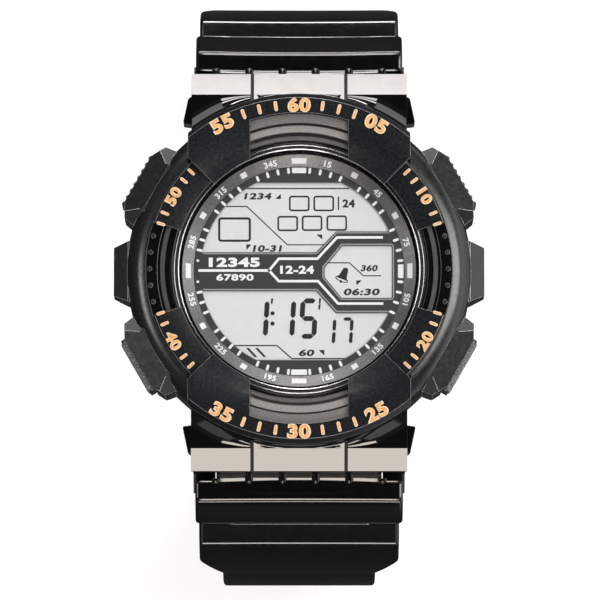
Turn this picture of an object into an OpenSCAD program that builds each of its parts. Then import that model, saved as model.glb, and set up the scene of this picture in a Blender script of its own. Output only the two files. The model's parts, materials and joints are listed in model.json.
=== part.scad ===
// Digital sports watch, open buckle, strap halves in their moulded curve.
// Origin at the centre of the case back's outer face, +Z out of the dial,
// +Y towards 12 o'clock and +X towards 3 o'clock. Millimetres.

/* [Case] */
// Radius of the inner case barrel
barrel_r = 21.8; // [21.4:0.1:22.2]
// Height of the barrel's top face above the case back
barrel_top = 13.4; // [13.2:0.1:13.6]
// Height of the barrel's lower rim above the case back face
barrel_rim = 0.3; // [0.1:0.1:0.5]
// Radius of the cavity that holds the movement
cavity_r = 15.4; // [15.2:0.1:15.6]
// Radius of the case back plate
back_r = 19.6; // [19.4:0.1:19.8]
// Thickness of the case back plate
back_t = 1.2; // [1:0.1:1.4]
// Radius of the circle that the case back screws stand on
screw_circle_r = 17.8; // [17.7:0.1:17.9]
// Radius of a case back screw's head
screw_head_r = 1.2; // [1:0.1:1.3]
// Radius of a case back screw's shank
screw_shank_r = 0.65; // [0.5:0.05:0.75]
// Length of a case back screw
screw_len = 4; // [3:0.5:5]

/* [Bezel] */
// Height of the bezel's top face
bezel_top = 16; // [15.8:0.1:16.4]
// Outer radius of the bezel
bezel_r = 25.5; // [25.2:0.1:25.7]
// Inner radius of the four claws over the glass
claw_r = 17.4; // [17.3:0.1:17.6]
// Radius where the claws' inner bevel meets the top face
claw_bevel_r = 20.1; // [19.6:0.1:20.6]
// Half width of the block that the claws are cut from
claw_half_w = 16.1; // [15.9:0.1:16.3]
// Half width of the windows at 12 and 6 o'clock
window_half_w = 7.1; // [6.6:0.1:7.6]
// Radius of the windows' outer wall
window_r = 22.6; // [22.4:0.1:22.8]
// Outer radius of the label panels beside the claws
panel_r = 22.2; // [22.1:0.1:22.3]
// Height of the label panels
panel_top = 14.9; // [14.7:0.1:15.1]
// Angle from 3 o'clock where a label panel starts
panel_start = 18; // [15:1:21]
// Number of small studs between the label panels, on each side
stud_n = 5; // [3:1:7]

/* [Side guards] */
// Outer radius of the side guards
guard_r = 25; // [24.8:0.1:25.2]
// Height of the side guards' crest
guard_top = 13.9; // [13.7:0.1:14]
// Radius of the guards' rounded shoulder
guard_round = 3; // [2.6:0.1:3]
// Distance from the dial axis to a button hood's outer face
hood_reach = 27; // [26.6:0.1:27.2]
// Distance from the dial axis to the bumpers at 3 and 9 o'clock
bumper_reach = 26.9; // [26.5:0.1:27.2]

/* [Lugs] */
// Distance from the dial axis to the end of a lug cover
lug_end = 29; // [28.9:0.1:29.1]
// Half width of the lug covers
lug_half_w = 15.65; // [15.6:0.05:15.7]
// Height of the flat part of a lug cover
lug_top = 11.8; // [11.6:0.1:12]
// Slope of a lug cover's end facet, in degrees
lug_slope = 23; // [20:1:26]
// Length of the end facet, along Y
facet_len = 3.2; // [2.8:0.1:3.6]
// Half width of the middle tab of a lug cover
tab_half_w = 6.8; // [6.4:0.1:7.2]
// Distance from the dial axis to a strap pin
pin_y = 24.6; // [24.5:0.1:24.7]
// Height of the strap pins
pin_z = 5; // [4.9:0.1:5.1]
// Radius of the strap pins
pin_r = 0.9; // [0.8:0.05:1]

/* [Glass and dial] */
// Radius of the glass
glass_r = 17.6; // [17.5:0.05:17.65]
// Height of the glass's top face
glass_top = 14.3; // [14.2:0.05:14.3]
// Thickness of the glass
glass_t = 1.8; // [1.6:0.1:1.8]
// Inner radius of the scale ring round the dial
scale_ring_r = 15.3; // [15.1:0.1:15.5]
// Radius of the round display window in the dial mask
display_r = 14.3; // [14:0.1:14.5]
// Distance from the dial's centre line to the window's flats
display_half_h = 12.9; // [12.6:0.1:13.1]
// Height of a large digit
digit_h = 5.5; // [5:0.1:5.8]

/* [Buttons] */
// Height of the button axes above the case back
button_z = 6.4; // [6.3:0.1:6.5]
// Distance from the dial axis to a button's face
button_reach = 27.5; // [27.3:0.1:27.6]
// Length of a button cap along the case
cap_len = 8.8; // [8:0.1:9]
// Height of a button cap
cap_h = 4.4; // [4:0.1:4.6]
// Thickness of a button cap
cap_t = 1.9; // [1.8:0.05:1.9]
// Travel of a button
button_travel = 0.8; // [0.6:0.1:0.8]
// Radius of a button's stem
stem_r = 1; // [0.9:0.05:1.05]
// Number of teeth across a button's face
tooth_n = 8; // [6:1:10]

/* [Strap] */
// Width of the strap at the first rib
rib_w1 = 30.2; // [29.6:0.1:30.8]
// Width of the strap at the second rib
rib_w2 = 29.2; // [28.6:0.1:29.5]
// Width of the narrow part of the strap
strap_w = 22.5; // [22:0.1:22.8]
// Thickness of the strap at the crest of a rib
rib_t = 4.4; // [4.2:0.1:4.6]
// Thickness of the strap in the valleys
valley_t = 2.4; // [2.2:0.1:2.6]
// Thickness of the strap in the valley behind the first rib
second_valley_t = 3; // [2.8:0.1:3.2]
// Thickness of the narrow part of the strap
strap_t = 2.6; // [2.4:0.1:2.8]
// Radius of the knuckle round a strap pin
knuckle_r = 4.8; // [4.7:0.05:4.85]
// Half length of the knuckle
knuckle_half = 12; // [11.8:0.1:12.1]
// Distance from a rib's valley to its crest, along the strap
rib_rise = 4.4; // [4.1:0.1:4.7]
// Distance from one rib to the next, along the strap
rib_pitch = 8.9; // [8.6:0.1:9.2]
// How far past that distance the step behind the first rib lies
step_lag = 0.8; // [0.4:0.1:1]
// Radius of a buckle hole
hole_r = 1.3; // [1.1:0.05:1.5]
// Distance between buckle holes
hole_pitch = 6.5; // [6:0.1:7]
// Number of buckle holes
hole_n = 9; // [7:1:10]
// Length of the holed half
hole_strap_len = 118; // [114:1:120]
// Length of the buckle half, to the buckle's pin
buckle_strap_len = 63.3; // [62:0.1:64]

/* [Buckle] */
// Radius of the buckle's pin
buckle_pin_r = 0.75; // [0.7:0.05:0.8]
// Distance from the buckle's pin to its cross bar
buckle_len = 9.2; // [8.8:0.1:9.4]
// Width of each side arm of the buckle
buckle_arm_w = 2; // [1.8:0.1:2.2]
// Thickness of the buckle frame
buckle_t = 2.2; // [2:0.1:2.4]
// Width of the prong
prong_w = 2; // [1.8:0.1:2.2]
// Length of the strap keeper along the strap
keeper_len = 6; // [5:0.5:6]

/* [Hidden] */
$fn = 96;

// Clearances
slip = 0.05;            // a shaft in its bore, all round
seat = 0.02;            // a part in its seat
gap = 0.3;              // parts that move past each other
through = 1;            // how far a cut runs past the face it leaves

// Directions of the four buttons, counted from 3 o'clock
light_at = 150;
mode_at = 210;
start_at = 30;
reset_at = 330;
BUTTONS = [light_at, mode_at, start_at, reset_at];

// Stack of the dial and the movement, from the glass down
glass_z = glass_top - glass_t;
scale_ring_t = 1.05;
scale_ring_outer = 17.2;
mask_t = 0.35;
mask_z = glass_z - scale_ring_t - mask_t - 0.05;
ink_t = 0.05;
display_t = 1.7;
display_z = mask_z - ink_t - display_t;
display_plan_r = 15;
display_plan_h = 13.6;
light_t = 0.8;
light_z = display_z - light_t - 0.05;
light_half_h = 11;
frame_t = 1.35;
frame_z = light_z - frame_t - 0.05;
board_t = 0.8;
board_z = frame_z - board_t - 0.05;
board_r = 14.6;
battery_r = 10;
battery_t = 2.5;
battery_y = -2;
battery_z = board_z - battery_t - 0.5;
clip_t = 0.2;
clip_z = battery_z - clip_t - 0.05;
holder_z = clip_z;
cushion_t = 0.5;
cushion_z = clip_z - cushion_t - 0.05;
buzzer_t = 0.35;
buzzer_r = 13.4;
strip_y = 12;
strip_half_l = 7;
strip_w = 1.2;
spring_x = -9.5;
spring_y = 9;
spring_r = 1;
chip_y = 11;
can_x = 10;
can_y = 8;

// Case back gasket and the groove that it lies in
gasket_r = 16.2;
gasket_half = 0.35;
groove_half = 0.4;
groove_d = 0.75;

// Glass seat: the glass, its gasket and the polished ring round it
gasket_w = 0.28;
ring_r = glass_r + gasket_w + 3 * seat;
ring_w = 0.78;
seat_r = ring_r + ring_w + seat;

// Button sections, as distances from the dial axis along each button's axis
cap_back = button_reach - cap_t;
tooth_depth = 0.35;
knurl_depth = 0.15;
pocket_floor = cap_back - button_travel - 0.2;
stem_end = cavity_r + button_travel - 0.1;
clip_floor = cavity_r + 1.9;
button_clip_t = 0.4;
button_clip_u = clip_floor - button_clip_t - 0.05;
button_clip_r = 1.7;
clip_bore_r = 2;
seal_u = clip_floor + 1.3;
seal_len = 0.7;
seal_groove_r = stem_r - 0.2;
spring_floor = clip_floor + 3.1;
spring_bore_r = stem_r + 0.95;
spring_wire = 0.15;
spring_coil_r = stem_r + 0.45;
spring_turns = 4;

// Side guard hoods
hood_half = 3.8;
hood_end_half = 6;
hood_root = 6.4;
hood_top = 13.1;
hood_drop = 1.2;
hood_low = 2.8;
slot_half = cap_len / 2 + gap;
slot_low = button_z - cap_h / 2 - gap;
slot_high = button_z + cap_h / 2 + gap;
lip_angle = acos((panel_r + 0.05 - guard_r + guard_round) / guard_round);
guard_low = 0.8;
guard_foot = 1.2;
guard_split = lug_half_w + 0.1;
bumper_half = 3.5;
bumper_root = 4.35;
bumper_top = 11.6;

// Lugs: cheeks carry the pins, the cover closes them from above
cheek_in = knuckle_half + 0.2;
cheek_out = lug_half_w - 0.25;
cheek_end = lug_end - 0.15;
rest_gap = 0.12;
cheek_low = 1.2;
cheek_top = 9.6;
pocket_r = knuckle_r + 0.5;
facet_y = lug_end - facet_len;
edge_z = lug_top - facet_len * tan(lug_slope);
tab_root = sqrt(pow(bezel_r, 2) - pow(tab_half_w, 2));
fillet_w = 1;
fillet_h = 1.3;
seam_w = 0.45;
seam_d = 0.6;
cap_w = 1.25;

// Strap paths. Each half is [start angle, first radius, second radius, turn, length]:
// its outer face leaves the lug at the start angle below the horizontal, follows the
// first arc until it hangs straight down, then the second arc through the turn,
// and runs straight to its end.
root_out = 4.8;
root_up = 3.6;
start_angle = 33;
upper_bend = 32.5;
lower_bend = 34.7;
buckle_bend = 19;
hole_bend = 33;
strap_start = [pin_y + root_out, pin_z + root_up];
BUCKLE_HALF = [start_angle, upper_bend, buckle_bend, 90, buckle_strap_len];
HOLE_HALF = [start_angle, lower_bend, hole_bend, 90, hole_strap_len];
step_at = rib_pitch + step_lag;
shoulder_at = 2 * rib_pitch + 1.2;
shoulder_len = 6.5;
ledge_len = 2.2;
ledge_rise = 0.4;
web_len = 3;
clear_r = pocket_r + gap;
nub_n = 6;
nub_pitch = 4.85;
nub_r = 0.42;
nub_angle = 20;
nub_out = 5.45;
nub_up = 1.3;
step_len = 1.6;
hole_first = 46;
tip_r = strap_w / 2;
punch_len = 2 * rib_t;
barrel_knuckle_r = 2;
prong_slot = 2.5;
prong_slot_len = 4.5;

function arc_length(radius, turn) = radius * turn * PI / 180;
function first_centre(half) = [
    strap_start[0] - half[1] * sin(half[0]),
    strap_start[1] - half[1] * cos(half[0]),
];
function second_centre(half) = [
    first_centre(half)[0] + half[1] - half[2],
    first_centre(half)[1],
];
quarter_turn = 90;
function first_len(half) = arc_length(half[1], quarter_turn - half[0]);
function second_len(half) = arc_length(half[2], half[3]);

// Angle of the strap below the horizontal at distance s along its outer face
function heading(half, s) =
    s < first_len(half) ? half[0] + s / half[1] * 180 / PI :
    s < first_len(half) + second_len(half) ?
        quarter_turn + (s - first_len(half)) / half[2] * 180 / PI :
    quarter_turn + half[3];
function outward(a) = [sin(a), cos(a)];

// Angle at which the inner face of a strap half meets its round root
function toe_angle(half) =
    let (
        to_pin = [pin_y, pin_z] - first_centre(half),
        near = half[1] - rib_t,
        far = norm(to_pin)
    ) atan2(to_pin[0], to_pin[1]) + acos((near * near + far * far - clear_r * clear_r)
        / (2 * near * far)) + 0.5;
function along(a) = [cos(a), -sin(a)];

// Point [y, z] at distance s along the strap and depth d under the crests of the ribs
function strap_point(half, s, d) =
    s < first_len(half) ? first_centre(half) + (half[1] - d) * outward(heading(half, s)) :
    second_centre(half) + (half[2] - d) * outward(heading(half, s))
        + max(0, s - first_len(half) - second_len(half)) * along(quarter_turn + half[3]);

// Thickness of the strap at distance s: a ledge, two saw-tooth ribs, then the plain strap
rib_end_t = rib_t - 0.8;
function strap_thickness(s) = lookup(s, [
    [0, valley_t],
    [ledge_len, valley_t + ledge_rise],
    [rib_rise, rib_t],
    [step_at - 0.01, rib_end_t],
    [step_at, second_valley_t],
    [rib_pitch + rib_rise, rib_t],
    [shoulder_at + shoulder_len, strap_t],
]);
function rib_marks() = [
    ledge_len, rib_rise, step_at - 0.01, step_at, rib_pitch + rib_rise, shoulder_at + shoulder_len,
];
function marks_between(a, b) = [for (m = rib_marks()) if (m > a && m < b) m];
function steps_between(a, b) = [for (i = [0 : ceil((b - a) / step_len)])
    a + (b - a) * i / ceil((b - a) / step_len)];
function sorted_stations(a, b) = merge_lists(steps_between(a, b), marks_between(a, b), 0, 0, []);
function merge_lists(p, q, i, j, found) =
    i >= len(p) ? found :
    j < len(q) && q[j] < p[i] - 0.005 ? merge_lists(p, q, i, j + 1, concat(found, [q[j]])) :
    j < len(q) && abs(q[j] - p[i]) <= 0.005 ? merge_lists(p, q, i, j + 1, found) :
    merge_lists(p, q, i + 1, j, concat(found, [p[i]]));

// Outline [y, z] of the strap between two distances
function strap_outline(half, a, b) = concat(
    [for (s = sorted_stations(a, b)) strap_point(half, s, rib_t - strap_thickness(s))],
    [for (s = reverse_list(steps_between(a, b))) strap_point(half, s, rib_t)]
);
function reverse_list(v) = [for (i = [len(v) - 1 : -1 : 0]) v[i]];

function circle_points(cx, cy, r, a, b, n) =
    [for (i = [0 : n]) [cx + r * cos(a + (b - a) * i / n), cy + r * sin(a + (b - a) * i / n)]];

module ring(outer, inner, low, high) {
    translate([0, 0, low]) difference() {
        cylinder(r = outer, h = high - low);
        translate([0, 0, -through]) cylinder(r = inner, h = high - low + 2 * through);
    }
}

// A solid that spans width w across X, with its [y, z] outline given
module across(w) {
    rotate([90, 0, 90]) linear_extrude(height = w, center = true) children();
}

// Turns a part made along +X, with +Z up, to the direction of a button
module at_button(angle) {
    rotate([0, 0, angle]) translate([0, 0, button_z]) children();
}

module rod_x(r, from, to) {
    translate([from, 0, 0]) rotate([0, 90, 0]) cylinder(r = r, h = to - from);
}

// Places a part made in the strap's own frame: +Y along the strap, +Z out of it
module on_strap(half, s, d) {
    p = strap_point(half, s, d);
    translate([0, p[0], p[1]]) rotate([-heading(half, s), 0, 0]) children();
}

module pin_line(r, half_len) {
    translate([-half_len, pin_y, pin_z]) rotate([0, 90, 0]) cylinder(r = r, h = 2 * half_len);
}

module box_between(low, high) {
    translate(low) cube(high - low);
}

// Case

module lug_cheeks(half) {
    rest_r = half[1] - rib_t - rest_gap;
    toe = [for (a = [toe_angle(half) + 4, toe_angle(half)])
        first_centre(half) + rest_r * outward(a)];
    for (side = [-1, 1]) scale_x(side) translate([(cheek_in + cheek_out) / 2, 0, 0])
        across(cheek_out - cheek_in) polygon(concat(
            [[14, cheek_top], [14, cheek_low], [pin_y + 2.6, cheek_low]],
            toe,
            [[cheek_end, pin_z - 1.4], [cheek_end, cheek_top]]
        ));
}

module scale_x(side) {
    if (side > 0) children();
    else mirror([1, 0, 0]) children();
}

module case_body() color([0.07, 0.07, 0.08]) {
    difference() {
        union() {
            translate([0, 0, barrel_rim]) cylinder(r = barrel_r, h = barrel_top - barrel_rim);
            lug_cheeks(BUCKLE_HALF);
            mirror([0, 1, 0]) lug_cheeks(HOLE_HALF);
        }
        translate([0, 0, back_t]) cylinder(r = cavity_r, h = barrel_top);
        translate([0, 0, mask_z]) cylinder(r = scale_ring_outer + 0.1, h = barrel_top);
        translate([0, 0, glass_z - 0.1]) cylinder(r = seat_r, h = barrel_top);
        translate([0, 0, -through]) cylinder(r = back_r + 0.1, h = back_t + through);
        ring(gasket_r + groove_half, gasket_r - groove_half, back_t - through, back_t + groove_d);
        for (a = [45 : 90 : 315]) rotate([0, 0, a]) translate([screw_circle_r, 0, 0])
            cylinder(r = screw_shank_r + slip, h = screw_len + 0.5);
        for (a = BUTTONS) at_button(a) {
            rod_x(stem_r + slip, cavity_r - through, barrel_r + through);
            rod_x(clip_bore_r, cavity_r - through, clip_floor);
            rod_x(spring_bore_r, spring_floor, barrel_r + through);
        }
        for (end = [0, 1]) mirror([0, end, 0]) {
            pin_line(pin_r + seat, lug_half_w + through);
            pin_line(clear_r, knuckle_half + 0.1);
        }
    }
}

module case_back() color([0.72, 0.72, 0.74]) {
    difference() {
        union() {
            cylinder(r = back_r - 0.4, h = back_t);
            translate([0, 0, 0.4]) cylinder(r = back_r, h = back_t - 0.4);
            cylinder(r1 = back_r - 0.4, r2 = back_r, h = 0.4);
        }
        for (a = [45 : 90 : 315]) rotate([0, 0, a]) translate([screw_circle_r, 0, -through]) {
            cylinder(r = screw_shank_r + slip, h = back_t + 2 * through);
            cylinder(r = screw_head_r + slip, h = through + 0.65);
        }
        ring(14, 13.6, -through, 0.15);
    }
}

module back_gasket() color([0.12, 0.12, 0.12])
    translate([0, 0, back_t + gasket_half + seat]) rotate_extrude()
        translate([gasket_r, 0]) circle(r = gasket_half, $fn = 32);

module back_screw() {
    difference() {
        union() {
            translate([0, 0, 0.05]) cylinder(r = screw_head_r, h = 0.58);
            translate([0, 0, 0.05]) cylinder(r = screw_shank_r, h = screw_len);
        }
        for (turn = [0, 90]) rotate([0, 0, turn])
            translate([-0.75, -0.14, -through]) cube([1.5, 0.28, through + 0.35]);
    }
}

module back_screws() color([0.6, 0.6, 0.62])
    for (a = [45 : 90 : 315]) rotate([0, 0, a]) translate([screw_circle_r, 0, 0]) back_screw();

// Side guards, one on each side, with two button hoods and a bumper

module guard_profile() {
    polygon(concat(
        [[barrel_r + 0.1, guard_foot], [guard_r - 1, guard_low], [guard_r, guard_low + 1.4]],
        circle_points(guard_r - guard_round, guard_top - guard_round, guard_round, 0, lip_angle, 10),
        [[panel_r + 0.05, step_base - 0.05], [barrel_r + 0.1, step_base - 0.05]]
    ));
}

module button_hood() {
    difference() {
        translate([0, 0, hood_low]) linear_extrude(height = hood_top - hood_low)
            polygon([
                [barrel_r + 1.2, -hood_root], [hood_reach - 1.2, -hood_end_half],
                [hood_reach, -hood_half], [hood_reach, hood_half],
                [hood_reach - 1.2, hood_end_half], [barrel_r + 1.2, hood_root],
            ]);
        // The roof falls outwards, and its two ends fall away to the sides
        translate([hood_reach, 0, hood_top - hood_drop]) rotate([0, 22, 0])
            translate([-8, -10, 0]) cube([16, 20, 5]);
        for (side = [-1, 1]) scale_y(side)
            translate([barrel_r, hood_half, hood_top - 0.2]) rotate([-28, 0, 0])
                translate([-2, 0, 0]) cube([12, 6, 5]);
        // The under edge is drawn in
        translate([hood_reach + 0.9, 0, hood_low]) rotate([0, 45, 0])
            translate([-2, -10, -2]) cube([4, 20, 4]);
    }
}

module scale_y(side) {
    if (side > 0) children();
    else mirror([0, 1, 0]) children();
}

module bumper() {
    difference() {
        translate([0, 0, hood_low + 0.6]) linear_extrude(height = bumper_top - hood_low - 0.6)
            polygon([
                [guard_r - 2, -bumper_root - 0.6], [guard_r - 0.1, -bumper_root],
                [bumper_reach, -bumper_half], [bumper_reach, bumper_half],
                [guard_r - 0.1, bumper_root], [guard_r - 2, bumper_root + 0.6],
            ]);
        translate([bumper_reach, 0, bumper_top - 1.2]) rotate([0, 30, 0])
            translate([-6, -10, 0]) cube([12, 20, 5]);
        translate([bumper_reach + 0.8, 0, hood_low + 0.6]) rotate([0, 45, 0])
            translate([-2, -10, -2]) cube([4, 20, 4]);
    }
}

module guard() {
    difference() {
        union() {
            rotate_extrude() guard_profile();
            for (a = [start_at, reset_at]) rotate([0, 0, a]) button_hood();
            bumper();
        }
        box_between([-30, -30, -2], [guard_split, 30, 20]);
        box_between([-30, -30, lug_top - 0.1], [claw_half_w + 0.05, 30, 20]);
        translate([0, 0, -2]) cylinder(r = barrel_r + 0.05, h = 20);
        for (a = [start_at, reset_at]) at_button(a) {
            rod_x(spring_bore_r, barrel_r - through, guard_r + 4);
            translate([pocket_floor, -slot_half, slot_low - button_z])
                cube([10, 2 * slot_half, slot_high - slot_low]);
        }
    }
}

module right_guard() color([0.1, 0.1, 0.11]) guard();
module left_guard() color([0.1, 0.1, 0.11]) mirror([1, 0, 0]) guard();

// Lug covers, glossy, over the cheeks and the strap's knuckle

module lug_cover(half) {
    difference() {
        union() {
            across(2 * lug_half_w) polygon([
                [16, cheek_top + 0.02], [16, lug_top], [facet_y, lug_top], [lug_end, edge_z],
                [lug_end, pin_z + 2.4], [16, pin_z + 2.4],
            ]);
            // The middle tab climbs on as far as the bezel
            across(2 * tab_half_w) polygon([
                [16, lug_top - 1], [tab_root, lug_top - 1],
                [lug_end, edge_z], [tab_root, edge_z + (lug_end - tab_root) * tan(lug_slope)],
            ]);
            // Beside the tab a hollow curve climbs to the bezel's wall
            intersection() {
                rotate_extrude() polygon(concat(
                    [[barrel_r, lug_top - 0.2], [bezel_r + fillet_w, lug_top - 0.2]],
                    [for (a = [0 : 10 : 90]) [
                        bezel_r + fillet_w * (1 - sin(a)),
                        lug_top + fillet_h * (1 - cos(a)),
                    ]]
                ));
                box_between([-lug_half_w, 16, 0], [lug_half_w, facet_y, 20]);
            }
        }
        translate([0, 0, lug_top]) cylinder(r = bezel_r + 0.02, h = 10);
        translate([0, 0, -through]) cylinder(r = barrel_r + 0.05, h = 30);
        for (side = [-1, 1]) scale_x(side) {
            box_between([cheek_in - 0.02, 10, 0], [lug_half_w + 1, 40, cheek_top + 0.02]);
            box_between([guard_split - 0.12, 10, lug_top - 1], [20, 18, 20]);
            translate([tab_half_w, 0, 0]) seam_cut();
        }
        pin_line(pocket_r, lug_half_w + 1);
        // The side edges above the cheeks stay clear of the guards
        translate([0, 0, -through]) difference() {
            cylinder(r = guard_r + 0.1, h = 40);
            translate([-guard_split + 0.08, -40, -through]) cube([2 * guard_split - 0.16, 80, 60]);
        }
    }
}

module seam_cut() {
    across_seam = [
        [bezel_r - 2, lug_top - seam_d], [facet_y, lug_top - seam_d],
        [lug_end + 1, edge_z - seam_d], [lug_end + 1, lug_top + 3], [bezel_r - 2, lug_top + 3],
    ];
    across(seam_w) polygon(across_seam);
}

module upper_lug_cover() color([0.02, 0.02, 0.02]) lug_cover(BUCKLE_HALF);
module lower_lug_cover() color([0.02, 0.02, 0.02]) mirror([0, 1, 0]) lug_cover(HOLE_HALF);

// Bezel

module claw_plan() {
    intersection() {
        square([2 * claw_half_w, 60], center = true);
        union() for (end = [0, 1]) mirror([0, end, 0])
            polygon([[0, 0], [40, 40], [-40, 40]]);
    }
}

module claws() {
    difference() {
        intersection() {
            rotate_extrude() polygon([
                [claw_r, glass_top + 0.1], [barrel_r + 0.4, glass_top + 0.1],
                [barrel_r + 0.4, lug_top + 0.02], [bezel_r, lug_top + 0.02],
                [bezel_r, bezel_top - 1], [bezel_r - 0.7, bezel_top],
                [claw_bevel_r, bezel_top], [claw_r, glass_top + 0.6],
            ]);
            translate([0, 0, -through]) linear_extrude(height = 30) claw_plan();
        }
        intersection() {
            translate([0, 0, -through]) cylinder(r = window_r, h = 30);
            cube([2 * window_half_w, 80, 60], center = true);
        }
    }
}

module sector(a, b, r) {
    polygon(concat([[0, 0]], circle_points(0, 0, r, a, b, 12)));
}

module label_panel(a, b) {
    low = step_base + 0.02;
    intersection() {
        rotate_extrude() polygon([
            [claw_r + 0.5, glass_top + 0.1], [seat_r + 0.6, glass_top + 0.1], [seat_r + 0.6, low],
            [panel_r, low], [panel_r, panel_top - 0.3], [panel_r - 0.3, panel_top],
            [claw_bevel_r, panel_top], [claw_r + 0.5, glass_top + 0.3],
        ]);
        linear_extrude(height = 30) sector(a, b, 40);
    }
}

module stud_strip() {
    low = step_base + 0.02;
    intersection() {
        ring(panel_r, panel_r - 1.7, low, low + 0.5);
        linear_extrude(height = 30) sector(-panel_start - 1, panel_start + 1, 40);
    }
    for (i = [0 : stud_n - 1]) rotate([0, 0, 6.4 * (i - (stud_n - 1) / 2)])
        translate([panel_r - 0.6, 0, low]) cylinder(r = 0.35, h = 0.8, $fn = 24);
}

module bezel() color([0.11, 0.11, 0.12]) {
    claws();
    for (quarter = [0, 1], end = [0, 1]) mirror([quarter, 0, 0]) mirror([0, end, 0])
        label_panel(panel_start, 46);
    for (quarter = [0, 1]) mirror([quarter, 0, 0]) stud_strip();
}

// Stepped ring that shows in the bezel's windows

step_base = barrel_top + 0.35;
module step_ring() color([0.2, 0.2, 0.21]) {
    ring(barrel_r, seat_r + 0.05, barrel_top + 0.01, step_base);
    for (end = [0, 1]) mirror([0, end, 0]) intersection() {
        union() {
            ring(19.4, seat_r + 0.05, barrel_top + 0.01, step_base + 0.25);
            ring(20.9, 19.8, barrel_top + 0.01, step_base + 0.8);
            ring(window_r - 0.05, 21.2, step_base - 0.1, step_base + 1.35);
        }
        translate([-window_half_w + 0.05, 0, 0]) cube([2 * window_half_w - 0.1, 40, 40]);
    }
}

// Glass and dial

module glass() color([0.85, 0.9, 0.95, 0.3]) translate([0, 0, glass_z]) {
    cylinder(r = glass_r, h = glass_t - 0.35);
    translate([0, 0, glass_t - 0.35]) cylinder(r1 = glass_r, r2 = glass_r - 0.35, h = 0.35);
}

module glass_gasket() color([0.1, 0.1, 0.1])
    ring(glass_r + seat + gasket_w, glass_r + seat, glass_z - 0.05, glass_top - 0.5);

module glass_ring() color([0.05, 0.05, 0.06]) rotate_extrude() polygon([
    [ring_r, glass_z - 0.05], [ring_r + ring_w, glass_z - 0.05],
    [ring_r + ring_w, glass_top - 0.05], [ring_r + 0.45, glass_top - 0.05],
    [ring_r, glass_top - 0.45],
]);

module scale_ring() color([0.3, 0.3, 0.31]) translate([0, 0, mask_z + mask_t + 0.02])
    rotate_extrude() polygon([
        [scale_ring_r, 0], [scale_ring_outer, 0], [scale_ring_outer, scale_ring_t],
        [scale_ring_outer - 0.25, scale_ring_t], [scale_ring_r, 0.2],
    ]);

module display_plan() {
    intersection() {
        circle(r = display_r);
        square([2 * display_r, 2 * display_half_h], center = true);
    }
}

// Dark band across the dial, with the hexagon at its middle and a frame at the right
module dial_band() {
    polygon([
        [-20, 2.65], [2.5, 2.65], [5.45, 5.7], [20, 5.7], [20, -5.95], [5.4, -5.95],
        [2.55, -2.75], [-20, -2.75],
    ]);
}

module alarm_window() {
    polygon([
        [3.55, 0.6], [3.55, -0.9], [6.1, -4], [13.4, -4], [13.6, -3.8], [13.6, 3.6],
        [13.4, 3.85], [6.2, 3.85],
    ]);
}

module dial_mask() color([0.16, 0.16, 0.17]) translate([0, 0, mask_z + 0.01])
    linear_extrude(height = mask_t) difference() {
        circle(r = scale_ring_outer);
        difference() {
            display_plan();
            dial_band();
        }
        alarm_window();
    }

// Movement

module movement_plan(r, half_h) {
    intersection() {
        circle(r = r);
        square([2 * r, 2 * half_h], center = true);
    }
}

module display_panel() color([0.8, 0.82, 0.8]) translate([0, 0, display_z])
    linear_extrude(height = display_t) movement_plan(display_plan_r, display_plan_h);

// One bar of a digit, lying along X, with pointed ends
module bar(length, width) {
    polygon([
        [-length / 2, 0], [-length / 2 + width / 2, width / 2], [length / 2 - width / 2, width / 2],
        [length / 2, 0], [length / 2 - width / 2, -width / 2], [-length / 2 + width / 2, -width / 2],
    ]);
}

// Bars lit for each figure: top, upper left, upper right, middle, lower left, lower right, bottom
LIT = [
    [1, 1, 1, 0, 1, 1, 1], [0, 0, 1, 0, 0, 1, 0], [1, 0, 1, 1, 1, 0, 1], [1, 0, 1, 1, 0, 1, 1],
    [0, 1, 1, 1, 0, 1, 0], [1, 1, 0, 1, 0, 1, 1], [1, 1, 0, 1, 1, 1, 1], [1, 0, 1, 0, 0, 1, 0],
    [1, 1, 1, 1, 1, 1, 1], [1, 1, 1, 1, 0, 1, 1],
];
module digit(figure, height) {
    half = height / 2 * 0.94;
    wide = height * 0.34;
    thick = height * 0.13;
    places = [
        [0, 2 * half, 0], [-wide / 2, 1.5 * half, 90], [wide / 2, 1.5 * half, 90], [0, half, 0],
        [-wide / 2, 0.5 * half, 90], [wide / 2, 0.5 * half, 90], [0, 0, 0],
    ];
    lean = 0.06;
    multmatrix([[1, lean, 0, 0], [0, 1, 0, 0], [0, 0, 1, 0]])
        for (i = [0 : 6]) if (LIT[figure][i] == 1)
            translate([places[i][0], places[i][1]]) rotate(places[i][2])
                bar(places[i][2] == 0 ? wide - 0.1 : half - 0.1, thick);
}

small_h = digit_h * 0.7;
time_y = -9.45;
module display_digits() color([0.25, 0.25, 0.26]) translate([0, 0, display_z + display_t])
    linear_extrude(height = ink_t) {
        translate([-5.85, time_y]) digit(1, digit_h);
        translate([-2, time_y]) digit(1, digit_h);
        translate([1.2, time_y]) digit(5, digit_h);
        translate([4.3, time_y - 1.1]) digit(1, small_h);
        translate([6.8, time_y - 1.1]) digit(7, small_h);
        for (dot_y = [1.85, 3.35]) translate([-3.85, time_y + dot_y]) circle(r = 0.3, $fn = 24);
    }

module backlight_panel() color([0.9, 0.92, 0.88]) translate([0, 0, light_z])
    linear_extrude(height = light_t) movement_plan(display_plan_r - 0.4, light_half_h);

module backlight_lamp() color([0.95, 0.9, 0.6])
    translate([-12.6, -1, board_z + board_t + 0.02]) cube([1.2, 2, frame_t + 0.05]);

module zebra_strips() color([0.75, 0.45, 0.5])
    for (side = [-1, 1]) translate([-strip_half_l, side * strip_y - strip_w / 2, board_z + board_t])
        cube([2 * strip_half_l, strip_w, display_z - board_z - board_t - 0.01]);

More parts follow.
